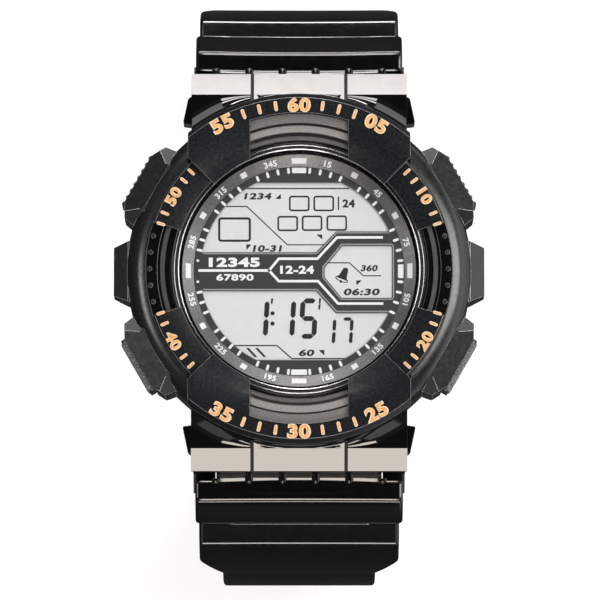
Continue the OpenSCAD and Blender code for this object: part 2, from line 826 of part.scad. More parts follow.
module strip_slots(low, high) {
    for (side = [-1, 1])
        translate([-strip_half_l - 0.1, side * strip_y - strip_w / 2 - 0.1, low])
            cube([2 * strip_half_l + 0.2, strip_w + 0.2, high - low]);
}

module module_frame() color([0.85, 0.85, 0.8]) difference() {
    union() {
        translate([0, 0, frame_z]) cylinder(r = cavity_r - 0.2, h = frame_t);
    }
    strip_slots(frame_z - through, frame_z + frame_t + through);
    translate([-12.8, -1.2, frame_z - through]) cube([1.6, 2.4, frame_t + 2 * through]);
    translate([0, 0, frame_z - through]) cylinder(r = 8, h = through + frame_t - 0.5);
    for (a = BUTTONS) rotate([0, 0, a]) translate([14.8, -1.2, frame_z - through])
        cube([2, 2.4, frame_t + 2 * through]);
}

module circuit_board() color([0.1, 0.35, 0.15]) translate([0, 0, board_z]) difference() {
    cylinder(r = board_r, h = board_t);
    for (a = [90, 270]) rotate([0, 0, a]) translate([board_r, 0, -through])
        cylinder(r = 0.8, h = board_t + 2 * through, $fn = 32);
}

module controller_chip() color([0.06, 0.06, 0.06])
    translate([-2.6, chip_y - 1.6, board_z - 0.9]) cube([5.2, 3.2, 0.88]);

module quartz_can() color([0.75, 0.75, 0.78])
    translate([can_x, can_y, board_z - 1.1]) rotate([0, 90, -50])
        translate([0, 0, -2.5]) cylinder(r = 0.95, h = 5, $fn = 48);

module buzzer_hole(r) {
    translate([spring_x, spring_y, 0]) cylinder(r = r, h = 20);
}

module battery_holder() color([0.15, 0.15, 0.16]) difference() {
    translate([0, 0, holder_z]) cylinder(r = board_r, h = board_z - holder_z - 0.02);
    translate([0, battery_y, holder_z - through]) cylinder(r = battery_r + 0.15, h = 10);
    translate([-3, chip_y - 1.9, board_z - 1.2]) cube([6, 3.8, 5]);
    translate([can_x, can_y, board_z - 1.1]) rotate([0, 0, -50])
        translate([-2.8, -1.25, -1.2]) cube([5.6, 2.5, 5]);
    buzzer_hole(spring_r + 0.4);
    translate([-battery_r - 2, battery_y - 2.2, holder_z - through])
        cube([2 * battery_r + 4, 4.4, 10]);
}

module battery() color([0.8, 0.8, 0.82]) translate([0, battery_y, battery_z]) {
    cylinder(r = battery_r, h = battery_t - 0.5);
    cylinder(r = battery_r - 1, h = battery_t);
}

module battery_clip() color([0.8, 0.7, 0.4]) {
    arm = battery_r + 1.6;
    translate([-arm, battery_y - 2, clip_z]) cube([2 * arm, 4, clip_t]);
    for (side = [-1, 1]) scale_x(side)
        translate([arm - clip_t, battery_y - 2, clip_z])
            cube([clip_t, 4, board_z - clip_z - 0.02]);
}

module buzzer_disc() color([0.8, 0.72, 0.45])
    translate([0, 0, back_t + seat]) cylinder(r = buzzer_r, h = buzzer_t);

module module_cushion() color([0.2, 0.2, 0.22]) translate([0, 0, cushion_z]) difference() {
    cylinder(r = board_r - 0.2, h = cushion_t);
    translate([spring_x, spring_y, -through]) cylinder(r = spring_r + 0.6, h = 5);
}

module switch_contacts() color([0.85, 0.75, 0.45])
    for (a = BUTTONS) rotate([0, 0, a]) {
        translate([board_r + 0.2, -0.9, board_z - 0.8]) cube([0.2, 1.8, frame_t + board_t + 0.8]);
        translate([board_r + 0.01, -0.9, board_z + 0.2]) cube([0.2, 1.8, 0.4]);
    }

// Wound wire, standing on the XY plane: rings of 6 points swept along a helix
module wound_spring(coil_r, wire_r, height, turns) {
    rings = 12 * turns;
    sides = 6;
    rise = height - 2 * wire_r;
    points = [for (i = [0 : rings]) for (k = [0 : sides - 1])
        let (a = 30 * i, b = 360 * k / sides, r = coil_r + wire_r * cos(b))
        [r * cos(a), r * sin(a), wire_r + rise * i / rings + wire_r * sin(b)]];
    walls = [for (i = [0 : rings - 1]) for (k = [0 : sides - 1])
        let (n = (k + 1) % sides, p = i * sides)
        each [[p + k, p + sides + n, p + sides + k], [p + k, p + n, p + sides + n]]];
    first = [for (k = [1 : sides - 2]) [0, k + 1, k]];
    last = [for (k = [1 : sides - 2]) [rings * sides, rings * sides + k, rings * sides + k + 1]];
    polyhedron(points = points, faces = concat(walls, first, last), convexity = 8);
}

module buzzer_spring() color([0.8, 0.8, 0.8])
    translate([spring_x, spring_y, back_t + buzzer_t + 0.05])
        wound_spring(spring_r, 0.15, board_z - back_t - buzzer_t - 0.1, 5);

// Strap pins and the tapered caps that close their ends

module strap_pin() {
    pin_line(pin_r, lug_half_w - 0.1);
}

module upper_strap_pin() color([0.7, 0.7, 0.72]) strap_pin();
module lower_strap_pin() color([0.7, 0.7, 0.72]) mirror([0, 1, 0]) strap_pin();

module pin_cap() {
    half_h = 2.2;
    difference() {
        translate([0, 0, pin_z - half_h]) linear_extrude(height = 2 * half_h) polygon([
            [cheek_out + 0.02, pin_y - 2.6], [cheek_out + cap_w + 0.2, pin_y - 2.4],
            [cheek_out + cap_w + 0.25, pin_y - 2.1], [cheek_out + 0.8, pin_y + 1.2],
            [cheek_out + 0.45, pin_y + 1.5], [cheek_out + 0.02, pin_y + 1.5],
        ]);
        pin_line(pin_r + slip, lug_half_w);
    }
}

module strap_pin_caps() color([0.03, 0.03, 0.03])
    for (side = [-1, 1], end = [0, 1]) scale_x(side) mirror([0, end, 0]) pin_cap();

// Buttons

module button_cap(toothed) {
    tooth = cap_len / tooth_n;
    depth = toothed ? tooth_depth : knurl_depth;
    half = cap_len / 2;
    intersection() {
        translate([0, 0, -cap_h / 2]) linear_extrude(height = cap_h) polygon(concat(
            [[cap_back, half - 0.2], [cap_back, -half + 0.2], [cap_back + 0.2, -half],
             [button_reach - depth, -half]],
            toothed ? [for (i = [0 : tooth_n - 1]) each [
                [button_reach, -half + (i + 0.35) * tooth],
                [button_reach, -half + (i + 0.65) * tooth],
                [button_reach - depth, -half + (i + 1) * tooth],
            ]] : [[button_reach - depth, half]],
            [[cap_back + 0.2, half]]
        ));
        // Top and bottom edges of the cap are rounded towards its face
        rotate([90, 0, 0]) translate([0, 0, -half - 1]) linear_extrude(height = cap_len + 2)
            polygon([
                [cap_back - 1, -cap_h / 2], [button_reach - 0.5, -cap_h / 2],
                [button_reach, -cap_h / 2 + 0.5], [button_reach, cap_h / 2 - 0.5],
                [button_reach - 0.5, cap_h / 2], [cap_back - 1, cap_h / 2],
            ]);
    }
}

module button(toothed) {
    button_cap(toothed);
    difference() {
        rod_x(stem_r, stem_end, cap_back + 0.2);
        difference() {
            rod_x(stem_r + 1, seal_u, seal_u + seal_len);
            rod_x(seal_groove_r, seal_u - 1, seal_u + seal_len + 1);
        }
        difference() {
            rod_x(stem_r + 1, button_clip_u, button_clip_u + button_clip_t);
            rod_x(stem_r - 0.3, button_clip_u - 1, button_clip_u + button_clip_t + 1);
        }
    }
}

module button_seal() difference() {
    rod_x(stem_r + slip - 0.01, seal_u + 0.03, seal_u + seal_len - 0.03);
    rod_x(seal_groove_r + 0.02, seal_u - 1, seal_u + seal_len + 1);
}

module button_clip() difference() {
    rod_x(button_clip_r, button_clip_u + 0.03, button_clip_u + button_clip_t - 0.03);
    rod_x(stem_r - 0.28, button_clip_u - 1, button_clip_u + 2);
    translate([button_clip_u - 1, 0, -0.45]) cube([3, 3, 0.9]);
}

module button_spring() translate([spring_floor + 0.03, 0, 0]) rotate([0, 90, 0])
    wound_spring(spring_coil_r, spring_wire, cap_back - spring_floor - 0.06, spring_turns);

module light_button() color([0.13, 0.13, 0.13]) at_button(light_at) button(true);
module light_button_seal() color([0.3, 0.1, 0.1]) at_button(light_at) button_seal();
module light_button_clip() color([0.7, 0.7, 0.7]) at_button(light_at) button_clip();
module light_button_spring() color([0.8, 0.8, 0.8]) at_button(light_at) button_spring();
module mode_button() color([0.13, 0.13, 0.13]) at_button(mode_at) button(false);
module mode_button_seal() color([0.3, 0.1, 0.1]) at_button(mode_at) button_seal();
module mode_button_clip() color([0.7, 0.7, 0.7]) at_button(mode_at) button_clip();
module mode_button_spring() color([0.8, 0.8, 0.8]) at_button(mode_at) button_spring();
module start_button() color([0.13, 0.13, 0.13]) at_button(start_at) button(true);
module start_button_seal() color([0.3, 0.1, 0.1]) at_button(start_at) button_seal();
module start_button_clip() color([0.7, 0.7, 0.7]) at_button(start_at) button_clip();
module start_button_spring() color([0.8, 0.8, 0.8]) at_button(start_at) button_spring();
module reset_button() color([0.13, 0.13, 0.13]) at_button(reset_at) button(false);
module reset_button_seal() color([0.3, 0.1, 0.1]) at_button(reset_at) button_seal();
module reset_button_clip() color([0.7, 0.7, 0.7]) at_button(reset_at) button_clip();
module reset_button_spring() color([0.8, 0.8, 0.8]) at_button(reset_at) button_spring();

// Strap

module shoulder_cuts(half) {
    spare = 3;
    slope = (rib_w2 - strap_w) / 2;
    on_strap(half, shoulder_at + shoulder_len / 2, rib_t / 2)
        for (side = [-1, 1]) scale_x(side)
            translate([0, 0, -5]) linear_extrude(height = 10) polygon([
                [rib_w2 / 2, -shoulder_len / 2], [strap_w / 2, shoulder_len / 2],
                [strap_w / 2, shoulder_len / 2 + spare], [rib_w2 / 2 + spare, shoulder_len / 2 + spare],
                [rib_w2 / 2 + spare, -shoulder_len / 2 - slope * 0.1],
            ]);
}

module strap_half(half, end) {
    difference() {
        union() {
            difference() {
                union() {
                    across(rib_w1) polygon(strap_outline(half, 0, step_at));
                    across(rib_w2) polygon(strap_outline(half, step_at, shoulder_at + shoulder_len));
                }
                pin_line(clear_r, rib_w1);
                shoulder_cuts(half);
            }
            across(strap_w) polygon(strap_outline(half, shoulder_at + shoulder_len - 0.5, end));
            across(2 * knuckle_half) polygon(strap_outline(half, 0, web_len));
            pin_line(knuckle_r, knuckle_half);
            for (i = [0 : nub_n - 1]) nub((i - (nub_n - 1) / 2) * nub_pitch);
        }
        pin_line(pin_r + slip, knuckle_half + 1);
    }
}

// A short round peg that lies on the ledge and comes out from under the lug cover. The
// outer two are shorter, because the lug's cheeks stand there.
module nub(x) {
    translate([x, pin_y + nub_out, pin_z + nub_up]) {
        sphere(r = nub_r, $fn = 24);
        if (abs(x) < knuckle_half - nub_r)
            rotate([90 - nub_angle, 0, 0]) cylinder(r = nub_r, h = 1.5, $fn = 24);
    }
}

module buckle_strap() color([0.03, 0.03, 0.03]) difference() {
    union() {
        strap_half(BUCKLE_HALF, buckle_strap_len - 1);
        on_strap(BUCKLE_HALF, buckle_strap_len, rib_t - strap_t / 2)
            rod_x(barrel_knuckle_r, -strap_w / 2, strap_w / 2);
    }
    on_strap(BUCKLE_HALF, buckle_strap_len, rib_t - strap_t / 2) {
        rod_x(buckle_pin_r + slip, -strap_w, strap_w);
        translate([-prong_slot, -prong_slot_len, -5]) cube([2 * prong_slot, 2 * prong_slot_len, 10]);
    }
}

module hole_strap() color([0.03, 0.03, 0.03]) mirror([0, 1, 0]) difference() {
    strap_half(HOLE_HALF, hole_strap_len);
    for (i = [0 : hole_n - 1]) on_strap(HOLE_HALF, hole_first + i * hole_pitch, rib_t)
        translate([0, 0, -punch_len / 2]) cylinder(r = hole_r, h = 2 * punch_len, $fn = 48);
    // The tip is rounded
    on_strap(HOLE_HALF, hole_strap_len - tip_r, rib_t) translate([0, 0, -punch_len / 2]) difference() {
        translate([-tip_r - through, 0, 0]) cube([2 * (tip_r + through), tip_r + through, 2 * punch_len]);
        translate([0, 0, -through]) cylinder(r = tip_r, h = 2 * (punch_len + through));
    }
}

module at_buckle() on_strap(BUCKLE_HALF, buckle_strap_len, rib_t - strap_t / 2) children();

module buckle_frame() color([0.55, 0.55, 0.57]) at_buckle() {
    inside = strap_w / 2 + 0.35;
    outside = inside + buckle_arm_w;
    difference() {
        union() {
            for (side = [-1, 1]) scale_x(side) {
                rod_x(buckle_t / 2 + 0.5, inside, outside);
                box_between([inside, 0, -buckle_t / 2], [outside, buckle_len, buckle_t / 2]);
            }
            translate([0, buckle_len, 0]) rod_x(buckle_t / 2, -outside, outside);
        }
        rod_x(buckle_pin_r + seat, -outside - 1, outside + 1);
        // Seat that the prong's tip lies in
        translate([-prong_w / 2 - 0.2, buckle_len - 3, buckle_t / 2 - 0.4])
            cube([prong_w + 0.4, 6, 3]);
    }
}

module buckle_pin() color([0.7, 0.7, 0.72]) at_buckle()
    rod_x(buckle_pin_r, -strap_w / 2 - buckle_arm_w - 0.3, strap_w / 2 + buckle_arm_w + 0.3);

module buckle_prong() color([0.6, 0.6, 0.62]) at_buckle() difference() {
    eye_r = 1.5;
    low = buckle_t / 2 - 0.35;
    union() {
        rod_x(eye_r, -prong_slot + 0.3, prong_slot - 0.3);
        across(prong_w) polygon([
            [0, 0], [0, eye_r], [buckle_len - 2, low + 1], [buckle_len + 0.9, low + 0.75],
            [buckle_len + 1.1, low + 0.3], [buckle_len + 0.9, low], [buckle_len - 2, low],
        ]);
    }
    rod_x(buckle_pin_r + slip, -5, 5);
}

// Keeper: a loop with room for both halves of the strap
keeper_at = buckle_strap_len - 8.3;
module strap_keeper() color([0.03, 0.03, 0.03]) on_strap(BUCKLE_HALF, keeper_at, rib_t - strap_t / 2) {
    inner_half = strap_w / 2 + 0.4;
    low = -strap_t / 2 - 0.6;
    high = strap_t / 2 + strap_t + 0.5;
    wall = 1.3;
    translate([0, keeper_len / 2, 0]) rotate([90, 0, 0]) linear_extrude(height = keeper_len)
        difference() {
            translate([-inner_half - wall, low - wall]) rounded(
                2 * (inner_half + wall), high - low + 2 * wall, 1.2);
            translate([-inner_half, low]) square([2 * inner_half, high - low]);
        }
}

module rounded(w, h, r) {
    translate([r, 0]) square([w - 2 * r, h]);
    translate([0, r]) square([w, h - 2 * r]);
    for (x = [r, w - r], y = [r, h - r]) translate([x, y]) circle(r = r, $fn = 32);
}

case_body();
case_back();
back_gasket();
back_screws();
bezel();
step_ring();
left_guard();
right_guard();
upper_lug_cover();
lower_lug_cover();
glass();
glass_gasket();
glass_ring();
scale_ring();
dial_mask();
display_panel();
display_digits();
backlight_panel();
backlight_lamp();
zebra_strips();
module_frame();
circuit_board();
controller_chip();
quartz_can();
battery_holder();
battery();
battery_clip();
buzzer_disc();
buzzer_spring();
switch_contacts();
module_cushion();
upper_strap_pin();
lower_strap_pin();
strap_pin_caps();
light_button();
light_button_seal();
light_button_clip();
light_button_spring();
mode_button();
mode_button_seal();
mode_button_clip();
mode_button_spring();
start_button();
start_button_seal();
start_button_clip();
start_button_spring();
reset_button();
reset_button_seal();
reset_button_clip();
reset_button_spring();
buckle_strap();
hole_strap();
buckle_frame();
buckle_pin();
buckle_prong();
strap_keeper();
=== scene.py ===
# %% [markdown]
# # A digital sports watch, dressed for its portrait
# The solid parts come ready from the CAD source, each in its own place. This lesson
# gives them rounded edges, printed marks, real strap resin and a studio to stand in.
# Every length is written in millimetres and turned to metres at the last moment.

import json
import math

import bmesh
import bpy
import numpy as np
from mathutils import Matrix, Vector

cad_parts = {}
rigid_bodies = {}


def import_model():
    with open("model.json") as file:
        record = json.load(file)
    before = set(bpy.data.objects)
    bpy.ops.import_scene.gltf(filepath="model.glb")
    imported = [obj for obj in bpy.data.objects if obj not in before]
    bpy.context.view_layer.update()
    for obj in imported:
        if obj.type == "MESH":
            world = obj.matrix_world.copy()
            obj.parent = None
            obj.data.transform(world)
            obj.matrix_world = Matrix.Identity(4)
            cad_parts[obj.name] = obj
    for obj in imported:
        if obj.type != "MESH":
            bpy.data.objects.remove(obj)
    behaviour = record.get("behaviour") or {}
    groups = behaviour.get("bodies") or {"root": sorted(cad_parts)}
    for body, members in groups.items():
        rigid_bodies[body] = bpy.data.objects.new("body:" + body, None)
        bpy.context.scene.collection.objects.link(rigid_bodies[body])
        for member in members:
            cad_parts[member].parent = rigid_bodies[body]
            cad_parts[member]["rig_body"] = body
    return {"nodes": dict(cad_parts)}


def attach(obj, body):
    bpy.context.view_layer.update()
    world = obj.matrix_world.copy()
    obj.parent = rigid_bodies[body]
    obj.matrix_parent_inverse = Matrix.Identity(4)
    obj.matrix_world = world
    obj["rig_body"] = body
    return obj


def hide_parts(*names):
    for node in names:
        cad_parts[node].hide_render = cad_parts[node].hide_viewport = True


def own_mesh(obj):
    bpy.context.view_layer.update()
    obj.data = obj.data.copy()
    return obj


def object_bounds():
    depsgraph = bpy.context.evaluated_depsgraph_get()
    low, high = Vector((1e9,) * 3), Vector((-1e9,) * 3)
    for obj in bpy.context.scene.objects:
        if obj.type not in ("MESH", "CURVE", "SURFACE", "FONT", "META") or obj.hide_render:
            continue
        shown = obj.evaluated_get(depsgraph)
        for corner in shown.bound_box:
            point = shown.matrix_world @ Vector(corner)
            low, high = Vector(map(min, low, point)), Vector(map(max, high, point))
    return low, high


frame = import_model()
nodes = frame["nodes"]
cad_low, cad_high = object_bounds()
MM = 0.001
print("CAD box in mm:", [round((b - a) / MM, 1) for a, b in zip(cad_low, cad_high)])

# %% [markdown]
# ## The camera
# The photograph was taken with a long lens from a little on the 6 o'clock side: the
# dial, which lies deeper than the bezel, stands half a millimetre low in it. So the
# camera looks down along a line that leans by 0.11. It aims at the point of the dial
# that lies in the picture's middle, where 6.9 pixels are a millimetre.

# %% Camera
PIXELS_PER_MM, PICTURE = 6.9, 600
LEAN = 0.11
AIM = np.array([0.13, -4.2, 11.4])
AWAY = 1000.0


def placed(name, data):
    """A new object of the scene that shows these data."""
    made = bpy.data.objects.new(name, data)
    bpy.context.scene.collection.objects.link(made)
    return made


lens = bpy.data.cameras.new("portrait_lens")
lens.sensor_width = 36.0
lens.lens = lens.sensor_width * AWAY / (PICTURE / PIXELS_PER_MM)
lens.clip_start, lens.clip_end = 0.01, 20.0
camera = placed("portrait_camera", lens)
sight = np.array([0, LEAN, -1]) / math.hypot(LEAN, 1)
camera.location = (AIM - AWAY * sight) * MM
camera.rotation_euler = (math.atan(LEAN), 0, 0)
bpy.context.scene.camera = camera
print("lens", round(lens.lens, 1), "mm")

# %% [markdown]
# ## The studio
# Black resin shows only what it mirrors. So the studio's sky is low and dark straight
# above, where the camera hangs, and glows at the right. Soft boxes over 12 and 6 o'clock
# light the lug covers and the rounded edges of the strap, and a strip at the angle that
# the upper cover throws back to the lens makes it shine. A box on each side, the right
# one wider and stronger, draws the guards' round shoulders. Two low strips light the
# ribs' crests, and four corner boxes the hollows beside the covers. The floor is white to
# the lens; what glossy resin sees of it is bright near the watch and at its right, and
# dark elsewhere. Small helpers add the shader nodes for all that in a line each.


# %% Shader nodes in a line each
def feed(tree, node, inputs):
    """Gives each socket named in inputs a plain value or another node's output."""
    for key, value in inputs.items():
        if isinstance(value, bpy.types.Node):
            value = value.outputs[0]
        if isinstance(value, bpy.types.NodeSocket):
            tree.links.new(value, node.inputs[key])
        else:
            node.inputs[key].default_value = value


def add(tree, kind, inputs=None, **settings):
    """Adds a shader node with its settings and feeds its sockets."""
    made = tree.nodes.new("ShaderNode" + kind)
    for key, value in settings.items():
        setattr(made, key, value)
    feed(tree, made, inputs or {})
    return made


def maths(tree, operation, one, two):
    """One number from two, such as the larger one or the product."""
    return add(tree, "Math", {0: one, 1: two}, operation=operation)


def length(tree, vector):
    """How long a vector is."""
    return add(tree, "VectorMath", {0: vector}, operation="LENGTH").outputs["Value"]


def ramp(tree, value, low, high, at_low, at_high, way="LINEAR"):
    """A number that goes from at_low to at_high while the value goes from low to high."""
    ends = {"From Min": low, "From Max": high, "To Min": at_low, "To Max": at_high}
    return add(tree, "MapRange", {"Value": value, **ends}, interpolation_type=way)


# %% Sky
world = bpy.data.worlds.new("studio_sky")
world.use_nodes = True
bpy.context.scene.world = world
sky = world.node_tree
towards = add(sky, "SeparateXYZ", {0: add(sky, "TexCoord").outputs["Generated"]}).outputs
overhead = ramp(sky, towards["Z"], 0.86, 0.965, 0.09, 0.035, "SMOOTHSTEP")
right_glow = ramp(sky, towards["X"], 0.7, 0.92, 0.0, 1.0, "SMOOTHSTEP")
lens_ray = add(sky, "LightPath").outputs["Is Camera Ray"]
shown = maths(sky, "MAXIMUM", maths(sky, "ADD", overhead, right_glow), lens_ray)
feed(sky, sky.nodes["Background"], {"Strength": shown, "Color": (1.0, 0.99, 0.985, 1)})


# %% Lamps
def box_light(name, from_top, around, wide, deep, radiance, colour, away=0.6):
    """A rectangular lamp aimed at the dial from an angle off the vertical and an angle
    round it. Its power is pi times its area times its radiance."""
    lamp = bpy.data.lights.new(name, "AREA")
    lamp.shape = "RECTANGLE"
    lamp.size, lamp.size_y = wide, deep
    lamp.energy = math.pi * wide * deep * radiance
    lamp.color = colour
    holder = placed(name, lamp)
    tilt, turn = math.radians(from_top), math.radians(around)
    out = (math.sin(tilt) * math.cos(turn), math.sin(tilt) * math.sin(turn), math.cos(tilt))
    holder.location = [away * c for c in out]
    holder.rotation_euler = (tilt, 0, turn + math.pi / 2)


LAMPS = [
    ("box_at_twelve", 36, 90, 0.16, 0.14, 8.2, (1.0, 0.97, 0.95)),
    ("strip_at_twelve", 52, 90, 0.22, 0.07, 11.8, (1.0, 0.942, 0.92)),
    ("box_at_six", 34.5, 270, 0.16, 0.21, 8.3, (1.0, 0.905, 0.825)),
    ("box_at_three", 33, 10, 0.26, 0.36, 5.1, (1.0, 0.97, 0.94)),
    ("box_at_nine", 40, 180, 0.2, 0.2, 3.9, (1.0, 0.96, 0.92)),
    ("low_strip_at_twelve", 83.5, 90, 0.3, 0.055, 20.0, (1.0, 0.985, 0.97)),
    ("low_strip_at_six", 80, 270, 0.3, 0.09, 7.0, (1.0, 0.97, 0.94)),
]
for name, around, radiance in (("one", 64, 1.5), ("eleven", 116, 1.5),
                               ("five", 296, 0.7), ("seven", 244, 0.5)):
    LAMPS.append(("corner_box_at_" + name, 64, around, 0.2, 0.32, radiance, (1.0, 0.98, 0.965)))
for row in LAMPS:
    box_light(*row)

# %% Floor
FLOOR_Z = cad_low[2] - 0.0001
REACH = 3.0


def new_material(name):
    """A material, its tree of nodes and the shader in it."""
    made = bpy.data.materials.new(name)
    made.use_nodes = True
    return made, made.node_tree, made.node_tree.nodes["Principled BSDF"]


floor_mesh = bpy.data.meshes.new("studio_floor")
corners = [(x * REACH, y * REACH, FLOOR_Z) for x, y in ((-1, -1), (1, -1), (1, 1), (-1, 1))]
floor_mesh.from_pydata(corners, [], [(0, 1, 2, 3)])
floor = placed("studio_floor", floor_mesh)
pale, tree, paper = new_material("pale_floor")
rays, spot = add(tree, "LightPath").outputs, add(tree, "TexCoord").outputs["Object"]
fade = ramp(tree, length(tree, spot), 0.03, 0.065, 0.5, 0.012, "SMOOTHSTEP")
to_the_right = add(tree, "SeparateXYZ", {0: spot}).outputs["X"]
side_sheen = ramp(tree, to_the_right, 0.07, 0.16, 0.0, 0.9, "SMOOTHSTEP")
mirrored = maths(tree, "MAXIMUM", rays["Is Glossy Ray"], rays["Is Transmission Ray"])
near = maths(tree, "MULTIPLY", mirrored, maths(tree, "MAXIMUM", fade, side_sheen))
shown = maths(tree, "MAXIMUM", rays["Is Camera Ray"], near)
feed(tree, paper, {
    "Base Color": ramp(tree, rays["Is Glossy Ray"], 0, 1, 0.5, 0.02), "Roughness": 0.9,
    "Emission Strength": maths(tree, "MULTIPLY", shown, 0.68), "Emission Color": (1, 1, 1, 1)})
floor_mesh.materials.append(pale)
print("floor at", round(FLOOR_Z / MM, 2), "mm")

# %% [markdown]
# ## Finishes
# A moulded or plated surface is never one flat colour: its grain shifts the colour a
# little, spreads the gloss and lifts the surface by microns. One helper builds that from
# a noise in the part's own coordinates. Plain numbers go straight on the shader.

# %% A finish
def finish(name, colour, rough, grain=0.12, size=0.35, lift_um=0.0, spread=0.04, metal=0.0,
           stretch=(1, 1, 1), alpha=1.0, ior=1.5):
    """Noise cells of the given size in mm move the colour by the share grain, the
    roughness by spread and the height by lift_um microns."""
    made, tree, skin = new_material(name)
    laid = add(tree, "Mapping", {0: add(tree, "TexCoord").outputs["Object"], "Scale": stretch})
    noise = add(tree, "TexNoise", {"Vector": laid, "Scale": 1.0 / (size * MM), "Detail": 5.0})
    cells = noise.outputs["Fac"]
    tone = add(tree, "ValToRGB", {0: cells})
    low, high = tone.color_ramp.elements
    low.position, high.position = 0.32, 0.68
    low.color = [c * (1 - grain) for c in colour] + [1]
    high.color = [c * (1 + grain) for c in colour] + [1]
    gloss = ramp(tree, cells, 0.3, 0.7, max(0.0, rough - spread), min(1.0, rough + spread))
    feed(tree, skin, {"Base Color": tone, "Roughness": gloss, "Metallic": metal, "IOR": ior,
                      "Alpha": alpha})
    if lift_um:
        relief = add(tree, "Bump", {"Distance": lift_um * 1e-6, "Height": cells})
        feed(tree, skin, {"Normal": relief})
    return made


# %% The watch's own finishes
bezel_resin = finish("bezel_resin", (0.0095, 0.0112, 0.0138), 0.23, 0.35, 0.4, 4, 0.03)
shell_resin = finish("shell_resin", (0.007, 0.0076, 0.0086), 0.24, 0.2, 0.6, 3, 0.04, ior=1.8)
# The bezel's rounded edges get a lighter grey than the bezel itself: a painted highlight.
bezel_edge_highlight = finish("bezel_edge_highlight", (0.15, 0.15, 0.155), 0.24, 0.3, 0.4, 2, 0.05, ior=1.8)
# The guards' rounded edges are painted pale: a painted highlight.
guard_edge_highlight = finish("guard_edge_highlight", (0.7, 0.7, 0.71), 0.22, 0.3, 0.4, 2, 0.05, ior=1.8)
lug_gloss = finish("lug_gloss", (0.0018, 0.0018, 0.002), 0.06, 0.1, 2.0, 0.0, 0.01, ior=1.75)
strap_urethane = finish("strap_urethane", (0.0016, 0.0016, 0.0017), 0.1, 0.2, 1.6, 2, 0.03,
                        ior=1.75)
case_resin = finish("case_resin", (0.008, 0.008, 0.009), 0.42, 0.2, 0.5, 5, 0.05)
step_grain = finish("step_grain", (0.27, 0.262, 0.255), 0.42, 0.6, 0.13, 16, 0.1, ior=1.9)
lens_black = finish("lens_black", (0.004, 0.004, 0.0045), 0.08, 0.1, 1.0, 0.0, 0.02)
stud_black = finish("stud_black", (0.003, 0.003, 0.0034), 0.1, 0.1, 1.0, 0.0, 0.03, ior=1.6)
button_black = finish("button_black", (0.03, 0.03, 0.032), 0.32, 0.4, 0.2, 8, 0.08)
mask_grey = finish("mask_grey", (0.036, 0.038, 0.041), 0.42, 0.12, 0.2, 2, 0.04)
# The mask's rounded edges get a lighter grey: a painted highlight.
mask_edge_highlight = finish("mask_edge_highlight", (0.16, 0.16, 0.165), 0.3, 0.2, 0.3, 1, 0.05)
scale_grey = finish("scale_grey", (0.2, 0.204, 0.21), 0.33, 0.5, 0.12, 10, 0.05, metal=0.6, ior=1.7)
white_print = finish("white_print", (0.945, 0.97, 0.99), 0.5, 0.02, 0.4, 1, 0.03)
display_silver = finish("display_silver", (0.775, 0.805, 0.835), 0.42, 0.02, 1.2, 0.0, 0.02)
display_ink = finish("display_ink", (0.015, 0.015, 0.017), 0.4, 0.1, 0.4, 1, 0.03)
gold_paint = finish("gold_paint", (0.84, 0.44, 0.17), 0.45, 0.16, 0.35, 4, 0.05)
# A pale gold for painted highlights along the raised numbers' edges.
gold_edge_highlight = finish("gold_edge_highlight", (0.95, 0.75, 0.53), 0.5, 0.1, 0.35, 3, 0.05)
# A black used as painted shade in gaps and under the cover's edge.
painted_shade_black = finish("painted_shade_black", (0.0015, 0.0015, 0.0015), 0.6, 0.1, 1.0, 0.0, 0.05)
# A light grey for painted highlights along the windows' edges.
rim_highlight_grey = finish("rim_highlight_grey", (0.42, 0.42, 0.425), 0.4, 0.1, 0.4, 1, 0.04)
clear_glass = finish("clear_glass", (0.02, 0.022, 0.023), 0.02, 0.1, 3.0, 0.0, 0.01, alpha=0.025)
print("finishes so far:", len(bpy.data.materials))


# %% Tones that depend on the radius
def radius_tones(made, bands):
    """Multiplies the colour by a share that depends on the distance in mm from the dial's axis: on
    the ring the gaps between the treads get painted shade and each tread a tone of its own, and on
    the guards the painted highlight of the edges stays pale only where the hoods stand out."""
    tree = made.node_tree
    skin = tree.nodes["Principled BSDF"]
    was = skin.inputs["Base Color"].links[0].from_socket
    place = add(tree, "TexCoord").outputs["Object"]
    flat = add(tree, "VectorMath", {0: place, 1: (1, 1, 0)}, operation="MULTIPLY")
    full = 30
    share = ramp(tree, length(tree, flat), 0, full * MM, 0, 1)
    steps = add(tree, "ValToRGB", {0: share})
    steps.color_ramp.interpolation = "CONSTANT"
    for radius, tone in bands:
        steps.color_ramp.elements.new(radius / full).color = (tone, tone, tone, 1)
    blend = add(tree, "Mix", {0: 1.0, 6: was, 7: steps}, data_type="RGBA", blend_type="MULTIPLY")
    feed(tree, skin, {"Base Color": blend.outputs[2]})


# On the step ring: painted shade in the two gaps between the treads, and a tone for each tread.
radius_tones(step_grain, [(10, 0.3), (19.4, 0.03), (19.82, 1.0), (20.9, 0.04), (21.2, 0.52)])
# On the guards the painted edge highlight stays pale only outside 24.7 mm, where the hoods stand
# out.
radius_tones(guard_edge_highlight, [(10, 0.25), (24.7, 1.0)])

# %% [markdown]
# ## Rounded copies of the moulded parts
# The CAD solids meet in knife edges, and no moulding does. Each visible part is copied,
# its loose triangles are merged, flat areas become single faces again, and a Bevel
# rounds every edge by a tenth or two of a millimetre, which is what catches the light.


